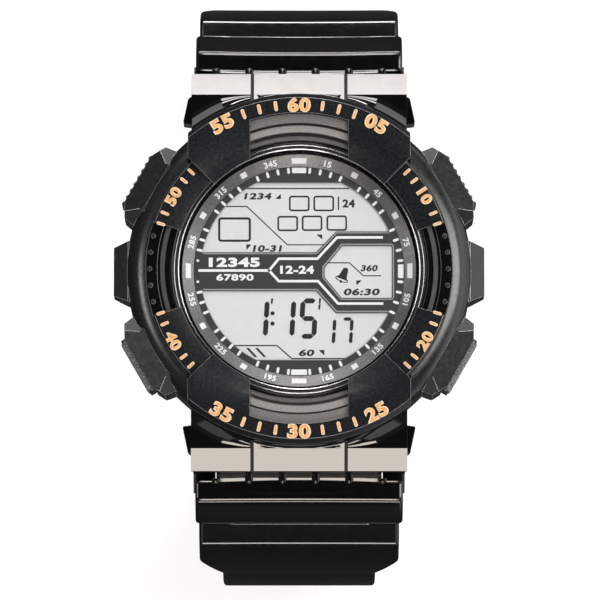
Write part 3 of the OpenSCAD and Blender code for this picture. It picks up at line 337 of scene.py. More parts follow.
# %% Softening
def softened(node, width, material, slot, turn=28, edge=None):
    """The node's own shape with each edge sharper than turn degrees rounded; the rounded strips can
    have a finish of their own, a lighter colour that paints a highlight along the edges."""
    source = nodes[node]
    mesh = source.data.copy()
    mesh.name = node + "_soft"
    if "custom_normal" in mesh.attributes:
        mesh.attributes.remove(mesh.attributes["custom_normal"])
    work = bmesh.new()
    work.from_mesh(mesh)
    bmesh.ops.remove_doubles(work, verts=work.verts, dist=0.003 * MM)
    nearly_flat = math.radians(0.6)
    bmesh.ops.dissolve_limit(work, angle_limit=nearly_flat, verts=work.verts, edges=work.edges)
    work.to_mesh(mesh)
    work.free()
    mesh.materials.clear()
    mesh.materials.append(material)
    mesh.shade_smooth()
    mesh.set_sharp_from_angle(angle=math.radians(turn))
    soft = placed(node + "_soft", mesh)
    rounding = soft.modifiers.new("rounding", "BEVEL")
    rounding.width = width * MM
    rounding.segments = 2
    rounding.limit_method = "ANGLE"
    rounding.angle_limit = math.radians(turn)
    rounding.harden_normals = True
    if edge:
        mesh.materials.append(edge)
        rounding.material = 1
    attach(soft, source["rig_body"])
    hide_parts(node)
    return soft


# %% The moulded case
SOFT = [
    ("bezel", 0.13, bezel_resin, "bezel_resin", 28, bezel_edge_highlight),
    ("left_guard", 0.22, shell_resin, "guard_resin", 16, guard_edge_highlight),
    ("right_guard", 0.22, shell_resin, "guard_resin", 16, guard_edge_highlight),
    ("upper_lug_cover", 0.14, lug_gloss, "gloss_black", 14),
    ("lower_lug_cover", 0.14, lug_gloss, "gloss_black", 14),
    ("step_ring", 0.1, step_grain, "step_metal"),
    ("case_body", 0.12, case_resin, "case_resin"),
    ("strap_pin_caps", 0.3, lug_gloss, "gloss_black", 20),
    ("dial_mask", 0.09, mask_grey, "dial_grey", 28, mask_edge_highlight),
]
for row in SOFT:
    soft = softened(*row)
    print(row[0], "softened by", row[1], "mm,", len(soft.data.polygons), "faces")

# %% [markdown]
# ## New surfaces
# Everything that isn't a CAD part is worked out as a grid or an outline of points with
# numpy. These helpers turn such arrays into closed meshes that ride on a body. A shell is
# a pair: its points in mm and blocks of faces that number them.


# %% From arrays to a piece
def grid_faces(rows, cols, wrap_rows=False, wrap_cols=False):
    """Quads of a grid numbered row by row; wrapping joins the last line to the first."""
    i, j = np.meshgrid(np.arange(rows if wrap_rows else rows - 1),
                       np.arange(cols if wrap_cols else cols - 1), indexing="ij")
    up, across = (i + 1) % rows, (j + 1) % cols
    quads = np.stack([i * cols + j, up * cols + j, up * cols + across, i * cols + across], -1)
    return quads.reshape(-1, 4)


def tube_faces(rows, cols):
    """The quads of a tube and the two faces that end it."""
    last = cols * (rows - 1)
    return [grid_faces(rows, cols, False, True), np.arange(cols)[None],
            np.arange(cols)[None, ::-1] + last]


def together(shells):
    """Several shells as one: each one's face numbers move up past the points before it."""
    counts = np.cumsum([0] + [len(points) for points, _ in shells])
    points = np.vstack([points for points, _ in shells])
    faces = [block + first for (_, blocks), first in zip(shells, counts) for block in blocks]
    return points, faces


# %% A piece that rides on a body
def solid(name, shell, weld, scale):
    """An object from points and blocks of faces: points closer than weld become one, and
    every face looks out."""
    points, faces = shell
    mesh = bpy.data.meshes.new(name)
    mesh.from_pydata((points * scale).tolist(), [], sum([block.tolist() for block in faces], []))
    work = bmesh.new()
    work.from_mesh(mesh)
    bmesh.ops.remove_doubles(work, verts=work.verts, dist=weld)
    bmesh.ops.recalc_face_normals(work, faces=work.faces)
    work.to_mesh(mesh)
    work.free()
    return placed(name, mesh)


def new_piece(name, shell, material, body="case", sharp=30):
    """A solid from points in mm that rides on a body; edges under the angle sharp look
    round."""
    made = solid(name, shell, 0.0005 * MM, MM)
    made.data.materials.append(material)
    made.data.shade_smooth()
    made.data.set_sharp_from_angle(angle=math.radians(sharp))
    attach(made, body)
    return made


# %% Skins and turned shapes
def skin_of(top, under):
    """A closed skin from two grids of points: both sheets and a wall along their rim."""
    rows, cols = top.shape[:2]
    sheet, n = grid_faces(rows, cols), rows * cols
    at = np.arange(n).reshape(rows, cols)
    rim = np.concatenate([at[0], at[1:, -1], at[-1, -2::-1], at[-2:0:-1, 0]])
    after = np.roll(rim, -1)
    wall = np.stack([rim, after, after + n, rim + n], -1)
    points = np.vstack([top.reshape(-1, 3), under.reshape(-1, 3)])
    return points, [sheet, sheet[:, ::-1] + n, wall]


def once_round(steps):
    """Angles that divide a full turn into equal steps."""
    return np.linspace(0, 2 * np.pi, steps, endpoint=False)


def turned(profile, steps=240):
    """A closed outline (radius, height) carried once round the dial's axis."""
    profile = np.asarray(profile, float)
    a = once_round(steps)[:, None]
    r, z = profile[:, 0][None], profile[:, 1][None]
    points = np.stack([np.cos(a) * r, np.sin(a) * r, z + 0 * a], -1).reshape(-1, 3)
    return points, [grid_faces(steps, len(profile), True, True)]


# %% Flat shapes
def plate(outline, low, high):
    """A flat shape with square sides: its outline (x, y) at the heights low and high."""
    outline = np.asarray(outline, float)
    n = len(outline)
    i = np.arange(n)
    flat = np.ones(n)
    points = np.vstack([np.column_stack([outline, flat * z]) for z in (low, high)])
    sides = np.stack([i, (i + 1) % n, (i + 1) % n + n, i + n], -1)
    return points, [sides, i[None, ::-1], i[None] + n]


def unit(vectors):
    """The same directions, each one long."""
    return vectors / np.linalg.norm(vectors, axis=1)[:, None]


def normals(directions):
    """Flat unit vectors a quarter turn to the left of the directions."""
    along = unit(directions)
    return np.column_stack([-along[:, 1], along[:, 0]])


def stroke(path, width, low, high, closed=False):
    """A flat bar along a path (x, y). Each corner point moves out along the mean of the
    two normals, further the sharper the corner, so that the bar keeps its width."""
    p = np.asarray(path, float)
    before = np.roll(p, 1, 0) if closed else np.vstack([2 * p[0] - p[1], p[:-1]])
    after = np.roll(p, -1, 0) if closed else np.vstack([p[1:], 2 * p[-1] - p[-2]])
    u, v = normals(p - before), normals(after - p)
    mean = unit(u + v)
    out = mean * (width / 2 / np.sum(u * mean, 1))[:, None]
    ring = [np.column_stack([p + side * out, np.full(len(p), z)])
            for side, z in ((1, low), (-1, low), (-1, high), (1, high))]
    faces = [grid_faces(len(p), 4, True, True)] if closed else tube_faces(len(p), 4)
    return np.stack(ring, 1).reshape(-1, 3), faces


# %% Outlines
def arc(cx, cy, r, start, end, n=8):
    """Points on a circle about (cx, cy) from one angle to another, in degrees."""
    a = np.radians(np.linspace(start, end, n))
    return np.column_stack([cx + r * np.cos(a), cy + r * np.sin(a)])


def soft_box_outline(x0, y0, x1, y1, r):
    """A rectangle whose corners are quarter circles."""
    corners = ((x1 - r, y1 - r), (x0 + r, y1 - r), (x0 + r, y0 + r), (x1 - r, y0 + r))
    return np.vstack([arc(x, y, r, 90 * k, 90 * k + 90, 6) for k, (x, y) in enumerate(corners)])


def pill(length, width, low, high):
    """A bar along y whose ends are half circles."""
    half, r = length / 2 - width / 2, width / 2
    return plate(np.vstack([arc(0, half, r, 0, 180), arc(0, -half, r, 180, 360)]), low, high)


def sector(inside, outside, middle, half, low, high):
    """A piece of a flat ring between two radii, half an opening each side of an angle."""
    outline = np.vstack([arc(0, 0, outside, middle - half, middle + half, 40),
                         arc(0, 0, inside, middle + half, middle - half, 40)])
    return plate(outline, low, high)


# %% Round the dial
def bent(shell, angle, radius, tops_out=True, slope=0.0, from_r=0.0):
    """Wraps a flat drawing round the dial: x runs along a circle of that radius and y
    across it, tops outwards or inwards; height grows with the radius by the slope."""
    points, faces = shell
    x, y, z = points.T
    side = 1 if tops_out else -1
    r = radius + side * y
    a = math.radians(angle) - side * x / radius
    return np.column_stack([r * np.cos(a), r * np.sin(a), z + slope * (r - from_r)]), faces


def swung(points, angle):
    """The points turned about the dial's axis by an angle in degrees."""
    c, s = math.cos(math.radians(angle)), math.sin(math.radians(angle))
    return points @ np.array([[c, s, 0], [-s, c, 0], [0, 0, 1]])


# %% Figures
def shown_mesh(holder):
    """The mesh that an object shows, curves and modifiers worked out, and its points."""
    depsgraph = bpy.context.evaluated_depsgraph_get()
    mesh = bpy.data.meshes.new_from_object(holder.evaluated_get(depsgraph))
    points = np.empty(len(mesh.vertices) * 3)
    mesh.vertices.foreach_get("co", points)
    return mesh, points.reshape(-1, 3)


def figures(text, height, low, high, bold=0.0, widen=1.0):
    """Plain figures from Blender's own sans outlines, made a mesh, centred on zero,
    scaled to the height asked for and set between two levels."""
    curve = bpy.data.curves.new("figures", "FONT")
    curve.body = text
    curve.extrude = 0.1
    curve.offset = bold
    curve.resolution_u = 5
    curve.space_character = 1.0 + 2 * bold
    holder = placed("figures", curve)
    mesh, points = shown_mesh(holder)
    mesh.calc_loop_triangles()
    faces = np.empty(len(mesh.loop_triangles) * 3, int)
    mesh.loop_triangles.foreach_get("vertices", faces)
    bpy.data.objects.remove(holder)
    bpy.data.curves.remove(curve)
    bpy.data.meshes.remove(mesh)
    lowest, highest = points.min(0), points.max(0)
    points = points - (lowest + highest) / 2
    scale = height / (highest[1] - lowest[1])
    points[:, 0] *= scale * widen
    points[:, 1] *= scale
    points[:, 2] = np.where(points[:, 2] < 0, low, high)
    return points, [faces.reshape(-1, 3)]


# %% [markdown]
# ## The strap
# Each half is one moulding of soft resin: two saw-tooth ribs beside the case, shoulders,
# then a plain tongue. Its middle line is two arcs and a straight, and its section is a
# rectangle with rounded corners, so the whole half is one surface of two parameters:
# distance along the line and place round the section. Bores and holes are cut after.

# %% The line and the thickness of a strap half
PIN_Y, PIN_Z = 24.6, 5.0
ROOT = np.array([PIN_Y + 4.8, PIN_Z + 3.6])
RIB_T, VALLEY_T, TONGUE_T = 4.4, 2.4, 2.6
BUCKLE_LINE, BAR_S = (33.0, 32.5, 19.0), 63.3
HOLED_LINE, TIP_S = (33.0, 34.7, 33.0), 118.0


def strap_line(line, s):
    """Place (y, z) of the crest line at distance s with the unit vectors along it and
    out of it: an arc until it hangs straight down, an arc through a quarter turn, and a
    straight run. The line gives its first angle and the two radii."""
    start, r1, r2 = line
    first = r1 * math.radians(90 - start)
    second = r2 * math.pi / 2
    a = np.where(s < first, math.radians(start) + s / r1,
                 math.pi / 2 + np.clip(s - first, 0, second) / r2)
    out = np.stack([np.sin(a), np.cos(a)], -1)
    along = np.stack([np.cos(a), -np.sin(a)], -1)
    c1 = ROOT - r1 * np.array([math.sin(math.radians(start)), math.cos(math.radians(start))])
    c2 = c1 + np.array([r1 - r2, 0])
    on_first = (s < first)[..., None]
    place = np.where(on_first, c1 + r1 * out, c2 + r2 * out)
    place = place + np.maximum(0, s - first - second)[..., None] * along
    return place, along, out


def eased(s, table, reach_mm):
    """A broken line through the table, averaged over a short reach to round its corners.
    The reach is one number, or one for each place."""
    at, value = np.array(table).T
    near = np.linspace(-1, 1, 13)
    weight = 1 - near ** 2 * 0.95
    weight = weight / weight.sum()
    return np.interp(s[..., None] + near * np.asarray(reach_mm)[..., None], at, value) @ weight


RIBS = [(-9, VALLEY_T), (0, VALLEY_T), (2.2, 2.8), (4.4, RIB_T), (9.62, 3.62), (9.78, 3.0),
        (13.3, RIB_T), (25.5, TONGUE_T), (200, TONGUE_T)]
ROOT_HALF, TONGUE_HALF = 15.1, 11.25
WIDTHS = [(-9, ROOT_HALF), (9.65, ROOT_HALF), (9.75, 14.6), (19.0, 14.6),
          (25.5, TONGUE_HALF), (200, TONGUE_HALF)]
EASE, BOW = 0.42, 0.35
print("ribs at", [at for at, t in RIBS if t == RIB_T], "mm")


# %% The strap's surface
def section(corner_points=7, across_points=25):
    """Directions round the section: for each point the share of the flat half width and
    half height it stands at, and the unit arc it adds at a corner."""
    parts = []
    for sx, sy, start in ((1, 1, 90), (1, -1, 0), (-1, -1, -90), (-1, 1, -180)):
        a = np.radians(np.linspace(start, start - 90, corner_points))
        ones = np.ones(len(a))
        parts.append(np.column_stack([sx * ones, sy * ones, np.cos(a), np.sin(a)]))
    f = np.linspace(-1, 1, across_points)[1:-1]
    top = np.column_stack([f, np.ones(len(f)), 0 * f, np.ones(len(f))])
    under = top[::4] * [-1, -1, 1, -1]
    return np.vstack([parts[0], parts[1], under, parts[2], parts[3], top])


def strap_shell(line, s, half_width, corner=0.55, bow=BOW, end_round=0.0):
    """Sweeps the section along the line: x = share * (half width - corner) + corner arc,
    height in the strap = the same with the thickness, which follows the ribs; a rib
    bows by a third of a millimetre at its middle, and the second crest is the roundest."""
    sec = section()
    w = half_width[:, None]
    c = np.minimum(corner, w * 0.6)
    x = sec[:, 0] * (w - c) + c * sec[:, 2]
    shift = bow * (1 - np.minimum(1, (x / np.maximum(w, 1e-6)) ** 2))
    reach = np.interp(s, [11.0, 12.2, 14.6, 16.0], [EASE, 0.8, 0.8, EASE])[:, None]
    full = eased(s[:, None] + shift, RIBS, reach)
    left = np.clip(s[-1] - s, 0, end_round)[:, None]
    dip = end_round - np.sqrt(np.maximum(0, end_round ** 2 - (end_round - left) ** 2))
    t = full - 1.5 * dip
    c = np.minimum(c, t * 0.42)
    x = sec[:, 0] * (w - c) + c * sec[:, 2]
    height = full / 2 + sec[:, 1] * (t / 2 - c) + c * sec[:, 3]
    place, _, out = strap_line(line, s)
    yz = place[:, None, :] + (height - RIB_T)[..., None] * out[:, None, :]
    points = np.concatenate([x[..., None], yz], -1).reshape(-1, 3)
    return points, tube_faces(len(s), len(sec))


def rod(radius, half, centre, bore=0.0, edge=0.25):
    """A rod along x with eased ends, or a tube where a bore is given: an outline (radius,
    x) is carried round an axis that is then laid along x through the centre (y, z)."""
    a = np.linspace(0, np.pi / 2, 5)
    right = np.column_stack([radius - edge + edge * np.cos(a), half - edge + edge * np.sin(a)])
    inner = max(bore, 1e-4)
    outline = np.vstack([right[::-1] * [1, -1], right, [[inner, half], [inner, -half]]])
    points, faces = turned(outline, 96)
    return points[:, [2, 0, 1]] + [0, *centre], faces


# %% Cutting a shell
def cut(shell, cutters):
    """The shell less every cutter, by Boolean modifiers on stand-ins that are removed."""
    holders = [solid("cut_stand_in", one, 1e-4, 1.0) for one in [shell] + cutters]
    for tool in holders[1:]:
        step = holders[0].modifiers.new("cut", "BOOLEAN")
        step.operation, step.solver, step.object = "DIFFERENCE", "EXACT", tool
    mesh, points = shown_mesh(holders[0])
    faces = [np.array(face.vertices)[None] for face in mesh.polygons]
    for holder in holders:
        bpy.data.objects.remove(holder)
    return points, faces


# %% Parts that both halves share
PIN = (PIN_Y, PIN_Z)
WEB_HALF, WEB_STEPS, KEEP_FREE_R = 12.0, 12, 5.6
KNUCKLE_R, PIN_BORE_R = 4.8, 0.95
NUB_STEP, NUB_R, NUB_WIDEN, NUB_TIP = 4.85, 0.42, 1.45, math.radians(6)
NUB_Y, NUB_Z = PIN_Y + 5.45, PIN_Z + 1.3


def nub(place):
    """A peg that lies on the ledge and comes out from under the lug cover: a flattened
    rod with a round end, tipped down with the ledge. The outer two are short."""
    a = np.linspace(0, np.pi / 2, 7)
    r, back = NUB_R, 1.5 if abs(place) < 2 else 0.35
    round_end = np.column_stack([np.maximum(r * np.cos(a), 1e-4), r * np.sin(a)])
    points, faces = turned(np.vstack([[[1e-4, -back], [r, -back]], round_end]), 20)
    across, up, along = points.T
    y = along * math.cos(NUB_TIP) + up * math.sin(NUB_TIP) + NUB_Y
    z = up * math.cos(NUB_TIP) - along * math.sin(NUB_TIP) + NUB_Z
    return np.column_stack([NUB_STEP * place + NUB_WIDEN * across, y, z]), faces


def strap_root(line):
    """The knuckle round the pin, the web that joins it to the band, and six nubs."""
    web_s = np.linspace(0.0, 3.4, WEB_STEPS)
    knuckle = rod(KNUCKLE_R, WEB_HALF, PIN, bore=PIN_BORE_R, edge=0.3)
    web = strap_shell(line, web_s, np.full(WEB_STEPS, WEB_HALF), corner=0.3)
    return [knuckle, web] + [nub(i - 2.5) for i in range(6)]


# %% The band
RIBBED, LAST_PART = 26, 12


def band(line, end, tip=0.0, bow=BOW):
    """The band from its root to its end, in finer steps where it is ribbed, and the round
    space kept free for the lug."""
    s = np.concatenate([np.arange(0, RIBBED, 0.2), np.arange(RIBBED, end - LAST_PART, 0.8)])
    last = end - tip
    s = s[s < last - 0.3]
    if tip:
        turn = np.linspace(0, math.radians(86), 40)
        s = np.concatenate([s, last + tip * np.sin(turn)])
    else:
        s = np.concatenate([s, np.arange(s[-1] + 0.6, last, 0.6), [last]])
    half_round = np.sqrt(np.maximum(0.0, tip ** 2 - (s - last) ** 2))
    w = np.where(s > last, half_round, eased(s, WIDTHS, 0.45))
    shell = strap_shell(line, s, w, bow=bow, end_round=0.9 if tip else 0.0)
    return shell, rod(KEEP_FREE_R, 20.0, PIN, edge=0.2)


def placed_on_strap(line, s, depth, local):
    """Local points (x, along, out) set on the strap at distance s and a depth under the
    crest line."""
    place, along, out = strap_line(line, np.array([float(s)]))
    origin = place[0] - depth * out[0]
    yz = origin + local[:, 1:2] * along[0] + local[:, 2:3] * out[0]
    return np.column_stack([local[:, :1], yz])


# %% The holed half
FIRST_HOLE, HOLE_STEP, HOLES = 46, 6.5, 9
HOLE_R, FLARE, PUNCH = 1.3, 0.3, 6
MIDDLE = RIB_T - TONGUE_T / 2


def hole_cutter(line, s):
    """A round punch whose two ends flare, so that the hole's rims come out rounded."""
    a = np.linspace(0, math.pi / 2, 6)
    up = np.column_stack([HOLE_R + FLARE * (1 - np.cos(a)),
                          TONGUE_T / 2 - FLARE + FLARE * np.sin(a)])
    wide = HOLE_R + FLARE + 0.02
    profile = np.vstack([[[1e-4, -PUNCH], [wide, -PUNCH]], (up * [1, -1])[::-1], up,
                         [[wide, PUNCH], [1e-4, PUNCH]]])
    points, faces = turned(profile, 40)
    return placed_on_strap(line, s, MIDDLE, points), faces


tongue, keep_free = band(HOLED_LINE, TIP_S, tip=TONGUE_HALF, bow=0.08)
punches = [hole_cutter(HOLED_LINE, FIRST_HOLE + HOLE_STEP * i) for i in range(HOLES)]
tongue = cut(tongue, [keep_free] + punches)
points, faces = together([tongue] + strap_root(HOLED_LINE))
TO_SIX = [1, -1, 1]
holed_half = new_piece("holed_half_strap", (points * TO_SIX, faces), strap_urethane,
                       "holed_half", sharp=38)
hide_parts("hole_strap")
print("holed half:", len(holed_half.data.polygons), "faces,", HOLES, "holes")

# %% The buckle half
band_shell, keep_free = band(BUCKLE_LINE, BAR_S - 1)
end_place, _, end_out = strap_line(BUCKLE_LINE, np.array([BAR_S]))
bar_at = end_place[0] - MIDDLE * end_out[0]
SLOT_HALF, LOOP_R, BAR_BORE_R = (2.5, 4.5, 5.0), 2.0, 0.8
ends = (-1, 1)
corners = np.array([[x, u, v] for x in ends for u in ends for v in ends]) * SLOT_HALF
box_quads = np.array([[0, 1, 3, 2], [4, 6, 7, 5], [0, 4, 5, 1], [2, 3, 7, 6],
                      [0, 2, 6, 4], [1, 5, 7, 3]])
prong_slot = (placed_on_strap(BUCKLE_LINE, BAR_S, MIDDLE, corners), [box_quads])
band_shell = cut(band_shell, [keep_free, prong_slot])
loop = cut(rod(LOOP_R, TONGUE_HALF, bar_at, bore=BAR_BORE_R, edge=0.4), [prong_slot])
buckle_half = new_piece("buckle_half_strap", together([band_shell, loop] + strap_root(BUCKLE_LINE)),
                        strap_urethane, "buckle_half", sharp=38)
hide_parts("buckle_strap")
print("buckle half:", len(buckle_half.data.polygons), "faces")


# %% Painted shade at the start of the ledge
def ledge_shade(line):
    """A black skin of painted shade on the ledge where it comes out from under the cover: its top
    follows the strap's own height at each distance s, four hundredths of a millimetre above it."""
    s, x = np.linspace(-0.2, 1.45, 14), np.linspace(-11.7, 11.7, 30)
    place, _, out = strap_line(line, s)
    height = eased(s[:, None] + BOW * (1 - (x / WEB_HALF) ** 2), RIBS, EASE) - RIB_T
    sheets = []
    for lift in (0.04, -0.1):
        yz = place[:, None] + (height + lift)[..., None] * out[:, None]
        sheets.append(np.concatenate([x[None, :, None] + 0 * yz[..., :1], yz], -1))
    return skin_of(*sheets)


points, faces = ledge_shade(HOLED_LINE)
new_piece("holed_half_ledge_shade", (points * TO_SIX, faces), painted_shade_black, "holed_half")

# %% [markdown]
# ## The dial
# Under the glass lies a printed mask with three windows, and a sloping ring with a
# degree scale. The print is a few hundredths of a millimetre of white ink, so each mark
# is a thin closed shape standing on what it is printed on. Only plain numbers are used.

# %% Marks on the mask
MASK_TOP, MARK_R = 11.41, 14.76
SUNK, INK = 0.02, 0.025
mask_ink = (MASK_TOP - SUNK, MASK_TOP + INK)
marks = [bent(pill(0.9, 0.38, *mask_ink), 90 - at, MARK_R)
         for at in range(0, 360, 6) if at % 30 and at not in (264, 276)]
marks += [bent(pill(0.4, 0.36, *mask_ink), 90 - at, MARK_R) for at in (264, 276)]
for at, half in ((0, 1.03), (90, 1.0), (180, 1.15)):
    outline = soft_box_outline(-half, -0.4, half, 0.4, 0.12)
    marks.append(bent(plate(outline, *mask_ink), 90 - at, MARK_R))
new_piece("minute_marks", together(marks), white_print)
print(len(marks), "marks on the mask")

# %% The white lines across the middle
bars = [
    stroke([(-14.6, 0.1), (-4.2, 0.1)], 0.38, *mask_ink),
    stroke([(12.15, 4.93), (5.5, 4.93), (2.65, 1.82), (-2.95, 1.82), (-4.35, 0.1),
            (-2.95, -1.45), (2.75, -1.45), (5.65, -4.72), (12.2, -4.72)], 0.36, *mask_ink),
]
new_piece("band_lines", together(bars), white_print)


def fitted(text, width, height, x, y, low, high, bold=0.02, lean=0.0):
    """Figures set to a width and a height about (x, y), slanted by the share lean."""
    points, faces = figures(text, height, low, high, bold=bold)
    points[:, 0] *= width / (points[:, 0].max() - points[:, 0].min())
    x, y = points[:, 0] + lean * points[:, 1] + x, points[:, 1] + y
    return np.column_stack([x, y, points[:, 2]]), faces


BAND_TEXT = (("12345", 7.4, 1.4, -9.4, 1.3, 0.05), ("67890", 5.4, 1.0, -9.3, -0.9, 0.035),
             ("12-24", 4.9, 1.2, -0.3, 0.22, 0.045))
band_figures = [fitted(text, wide, tall, x, y, *mask_ink, bold)
                for text, wide, tall, x, y, bold in BAND_TEXT]
new_piece("band_figures", together(band_figures), white_print)

# %% The degree scale on the sloping ring
SCALE_BASE, SCALE_R = 11.62, 16.08
scale_ink = (SCALE_BASE - SUNK, SCALE_BASE + INK)
lifted = dict(slope=0.85 / 1.65, from_r=15.3)
scale_marks = []
for at in range(0, 360, 30):
    half = 1.08 if at % 90 == 0 else 0.46
    outline = soft_box_outline(-half, -0.38, half, 0.38, 0.08)
    scale_marks.append(bent(plate(outline, *scale_ink), 90 - at, SCALE_R, **lifted))
for at in range(15, 360, 30):
    number = figures(str(at), 0.86, *scale_ink, bold=0.036, widen=1.12)
    upper = at < 90 or at > 270
    scale_marks.append(bent(number, 90 - at, SCALE_R, tops_out=upper, **lifted))
new_piece("degree_scale", together(scale_marks), white_print)
print(len(scale_marks), "marks on the ring")

# %% Painted highlights and shadows at the windows' edges
CELL_TOP = 11.0
# Light grey lines along the mask's window edges are painted highlights; dark lines in the display's
# ink just outside them are painted shadows.
RIM_HIGHLIGHTS = ([(-13.9, 2.55), (2.54, 2.55), (5.49, 5.6), (13.1, 5.6)],
        [(-13.9, -2.65), (2.59, -2.65), (5.44, -5.85), (13.0, -5.85)],
        [(3.45, 0.64), (3.45, -0.94), (6.05, -4.1), (13.44, -4.1), (13.7, -3.84),
         (13.7, 3.64), (13.44, 3.95), (6.15, 3.95)])
SHADOW_LINES = ([(-14.0, 2.74), (2.46, 2.74), (5.41, 5.79), (13.05, 5.79)],
          [(-13.95, -2.84), (2.51, -2.84), (5.36, -6.04), (12.95, -6.04)],
          [(3.64, 0.56), (3.64, -0.86), (6.15, -3.91), (13.36, -3.91), (13.51, -3.76),
           (13.51, 3.56), (13.36, 3.76), (6.25, 3.76)])
for name, paths, wide, low, high, material in (
        ("window_rims", RIM_HIGHLIGHTS, 0.12, MASK_TOP - SUNK, MASK_TOP + INK - 0.01, rim_highlight_grey),
        ("window_shades", SHADOW_LINES, 0.11, CELL_TOP - 0.005, CELL_TOP + 0.015, display_ink)):
    edges = [stroke(path, wide, low, high, closed=len(path) > 4) for path in paths]
    new_piece(name, together(edges), material)

# %% Printing on the display glass
low, high = CELL_TOP - 0.005, CELL_TOP + 0.02
LINES = (([(-7.6, 12.13), (7.3, 12.13)], 0.18),
         ([(-10.6, 9.5), (-7.58, 9.5), (-1.7, 3.9), (3.75, 3.9)], 0.16),
         ([(4.1, 1.27), (7.3, 1.27), (9.35, -0.62), (11.9, -0.62)], 0.16),
         ([(-9.35, -10.8), (-3.2, -10.8), (-1.05, -12.7), (6.6, -12.7)], 0.18),
         ([(5.71, 10.95), (5.71, 9.0)], 0.2))
BOXES = ((-11.6, 4.5, -7.15, 7.75, 0.32), (-1.35, 8.93, 1.4, 10.95, 0.25),
         (2.2, 8.93, 4.95, 10.95, 0.25), (-3.03, 6.02, -0.28, 8.0, 0.25),
         (0.52, 6.05, 3.25, 8.05, 0.25), (4.1, 6.07, 6.83, 8.07, 0.25))
SHAPES = ([(-3.45, 10.6), (-2.65, 10.6), (-2.65, 11.35)],
          [(-7.65, 3.95), (-6.9, 3.95), (-7.65, 3.15)], [(2.5, 5.4), (3.35, 5.4), (3.35, 4.7)],
          [(8.3, -1.3), (9.1, -1.3), (8.3, -2.0)], [(2.85, -11.45), (3.65, -11.45), (3.65, -12.25)],
          [(-7.7, -11.15), (-7.28, -11.15), (-6.05, -12.45), (-6.47, -12.45)],
          [(-6.4, -11.15), (-5.98, -11.15), (-4.75, -12.45), (-5.17, -12.45)])
ink = [stroke(path, wide, low, high) for path, wide in LINES]
for *box, wide in BOXES:
    ink.append(stroke(soft_box_outline(*box, 0.3), wide, low, high, closed=True))
ink += [plate(shape, low, high) for shape in SHAPES]
new_piece("display_lines", together(ink), display_ink)

# %% A bell and the small numbers on the display
SWING, BELL_AT = -22, (6.5, -0.35)
bell = np.vstack([arc(0, 0.55, 0.42, 160, 20, 8), [[0.5, 0.0], [0.62, -0.45], [0.92, -0.8]],
                  [[-0.92, -0.8], [-0.62, -0.45], [-0.5, 0.0]]])
rim = arc(0, 0, 1, 0, 345, 24) * [0.92, 0.3] - [0, 0.86]
clapper = arc(0.0, -1.2, 0.2, 0, 330, 12)


def hung(outline):
    """The outline swung like a ringing bell and brought to its place."""
    flat = np.column_stack([outline, np.zeros(len(outline))])
    return swung(flat, SWING)[:, :2] + BELL_AT


icon = [plate(hung(bell), low, high), stroke(hung(rim), 0.13, low, high + 0.004, closed=True),
        plate(hung(clapper), low, high)]
for text, wide, tall, x, y, lean in (
        ("1234", 3.9, 0.95, -5.95, 11.0, 0.22), ("24", 1.8, 1.2, 7.2, 9.95, 0.0),
        ("10-31", 4.1, 0.98, -4.6, 3.36, 0.22), ("360", 2.4, 0.95, 10.2, 0.5, 0.22),
        ("06:30", 5.2, 1.0, 9.1, -2.97, 0.22), ("60", 2.2, 0.98, 1.1, -11.85, 0.22)):
    icon.append(fitted(text, wide, tall, x, y, low, high, 0.04, lean))
dash = np.array([(0.2, 0.4), (-0.13, 0.36), (-0.17, -0.4), (0.06, -0.42)])
icon += [plate(dash + at, low, high) for at in ((-3.93, -4.3), (3.02, -4.3), (2.95, -5.17))]
new_piece("display_icons", together(icon), display_ink)

# %% The glass and what borders it
black_border = turned([(16.93, 12.478), (17.55, 12.478), (17.55, 12.495), (16.93, 12.495)])
new_piece("glass_border", black_border, lens_black)
softened("glass_ring", 0.06, lens_black, "lens_ring")
a, wire = once_round(16), 0.1
# Both lines are one steel: the inner one is painted lighter and the outer one darker, painted light
# and shade for how much light each catches.
for line, r, z, look, tone in (("outer_line", 18.06, 14.0, "steel_painted_darker", (0.42, 0.42, 0.43)),
                               ("inner_line", 17.46, 14.24, "steel_painted_lighter", (0.75, 0.75, 0.76))):
    steel = finish(look, tone, 0.14, 0.05, 1.0, 0.0, 0.03, metal=1.0)
    profile = np.column_stack([r + wire * np.cos(a), z + wire * np.sin(a)])
    new_piece(line, turned(profile), steel)

# %% Studs in their black channels
def dome(x, y, r, low, height, steps=20, rings=7):
    """A low cap: at the share t of a quarter turn its radius is r cos t and its height
    above its foot is height sin t."""
    t = np.linspace(0, np.pi / 2, rings)
    a = once_round(steps)[:, None]
    off, up = np.maximum(r * np.cos(t), 1e-4)[None], low + height * np.sin(t)[None]
    points = np.stack([x + off * np.cos(a), y + off * np.sin(a), up + 0 * a], -1).reshape(-1, 3)
    return points, [grid_faces(steps, rings, True, False), (np.arange(steps) * rings)[None]]


WINDOW_FOOT, SHELF, FILM = 13.74, 14.26, 0.025
STUD_AT, STUD_STEP, STUD_R, STUD_RISE = 21.6, 6.4, 0.37, 0.33
channel, rails = [], []
for side in (0, 180):
    channel.append(sector(18.8, 20.55, side, 18.3, WINDOW_FOOT, WINDOW_FOOT + FILM))
    channel.append(sector(20.6, 22.1, side, 17.2, SHELF, SHELF + FILM))
    rails.append(sector(19.45, 20.1, side, 18.3, WINDOW_FOOT + 0.01, WINDOW_FOOT + 0.21))
    for step in range(-2, 3):
        at = math.radians(side + STUD_STEP * step)
        x, y = STUD_AT * math.cos(at), STUD_AT * math.sin(at)
        channel.append(dome(x, y, STUD_R, SHELF + 0.01, STUD_RISE))
new_piece("stud_channels", together(channel), stud_black, sharp=50)
rail_grey = finish("rail_grey", (0.045, 0.045, 0.046), 0.35, 0.3, 0.3, 4, 0.05, ior=1.8)
new_piece("window_rails", together(rails), rail_grey)
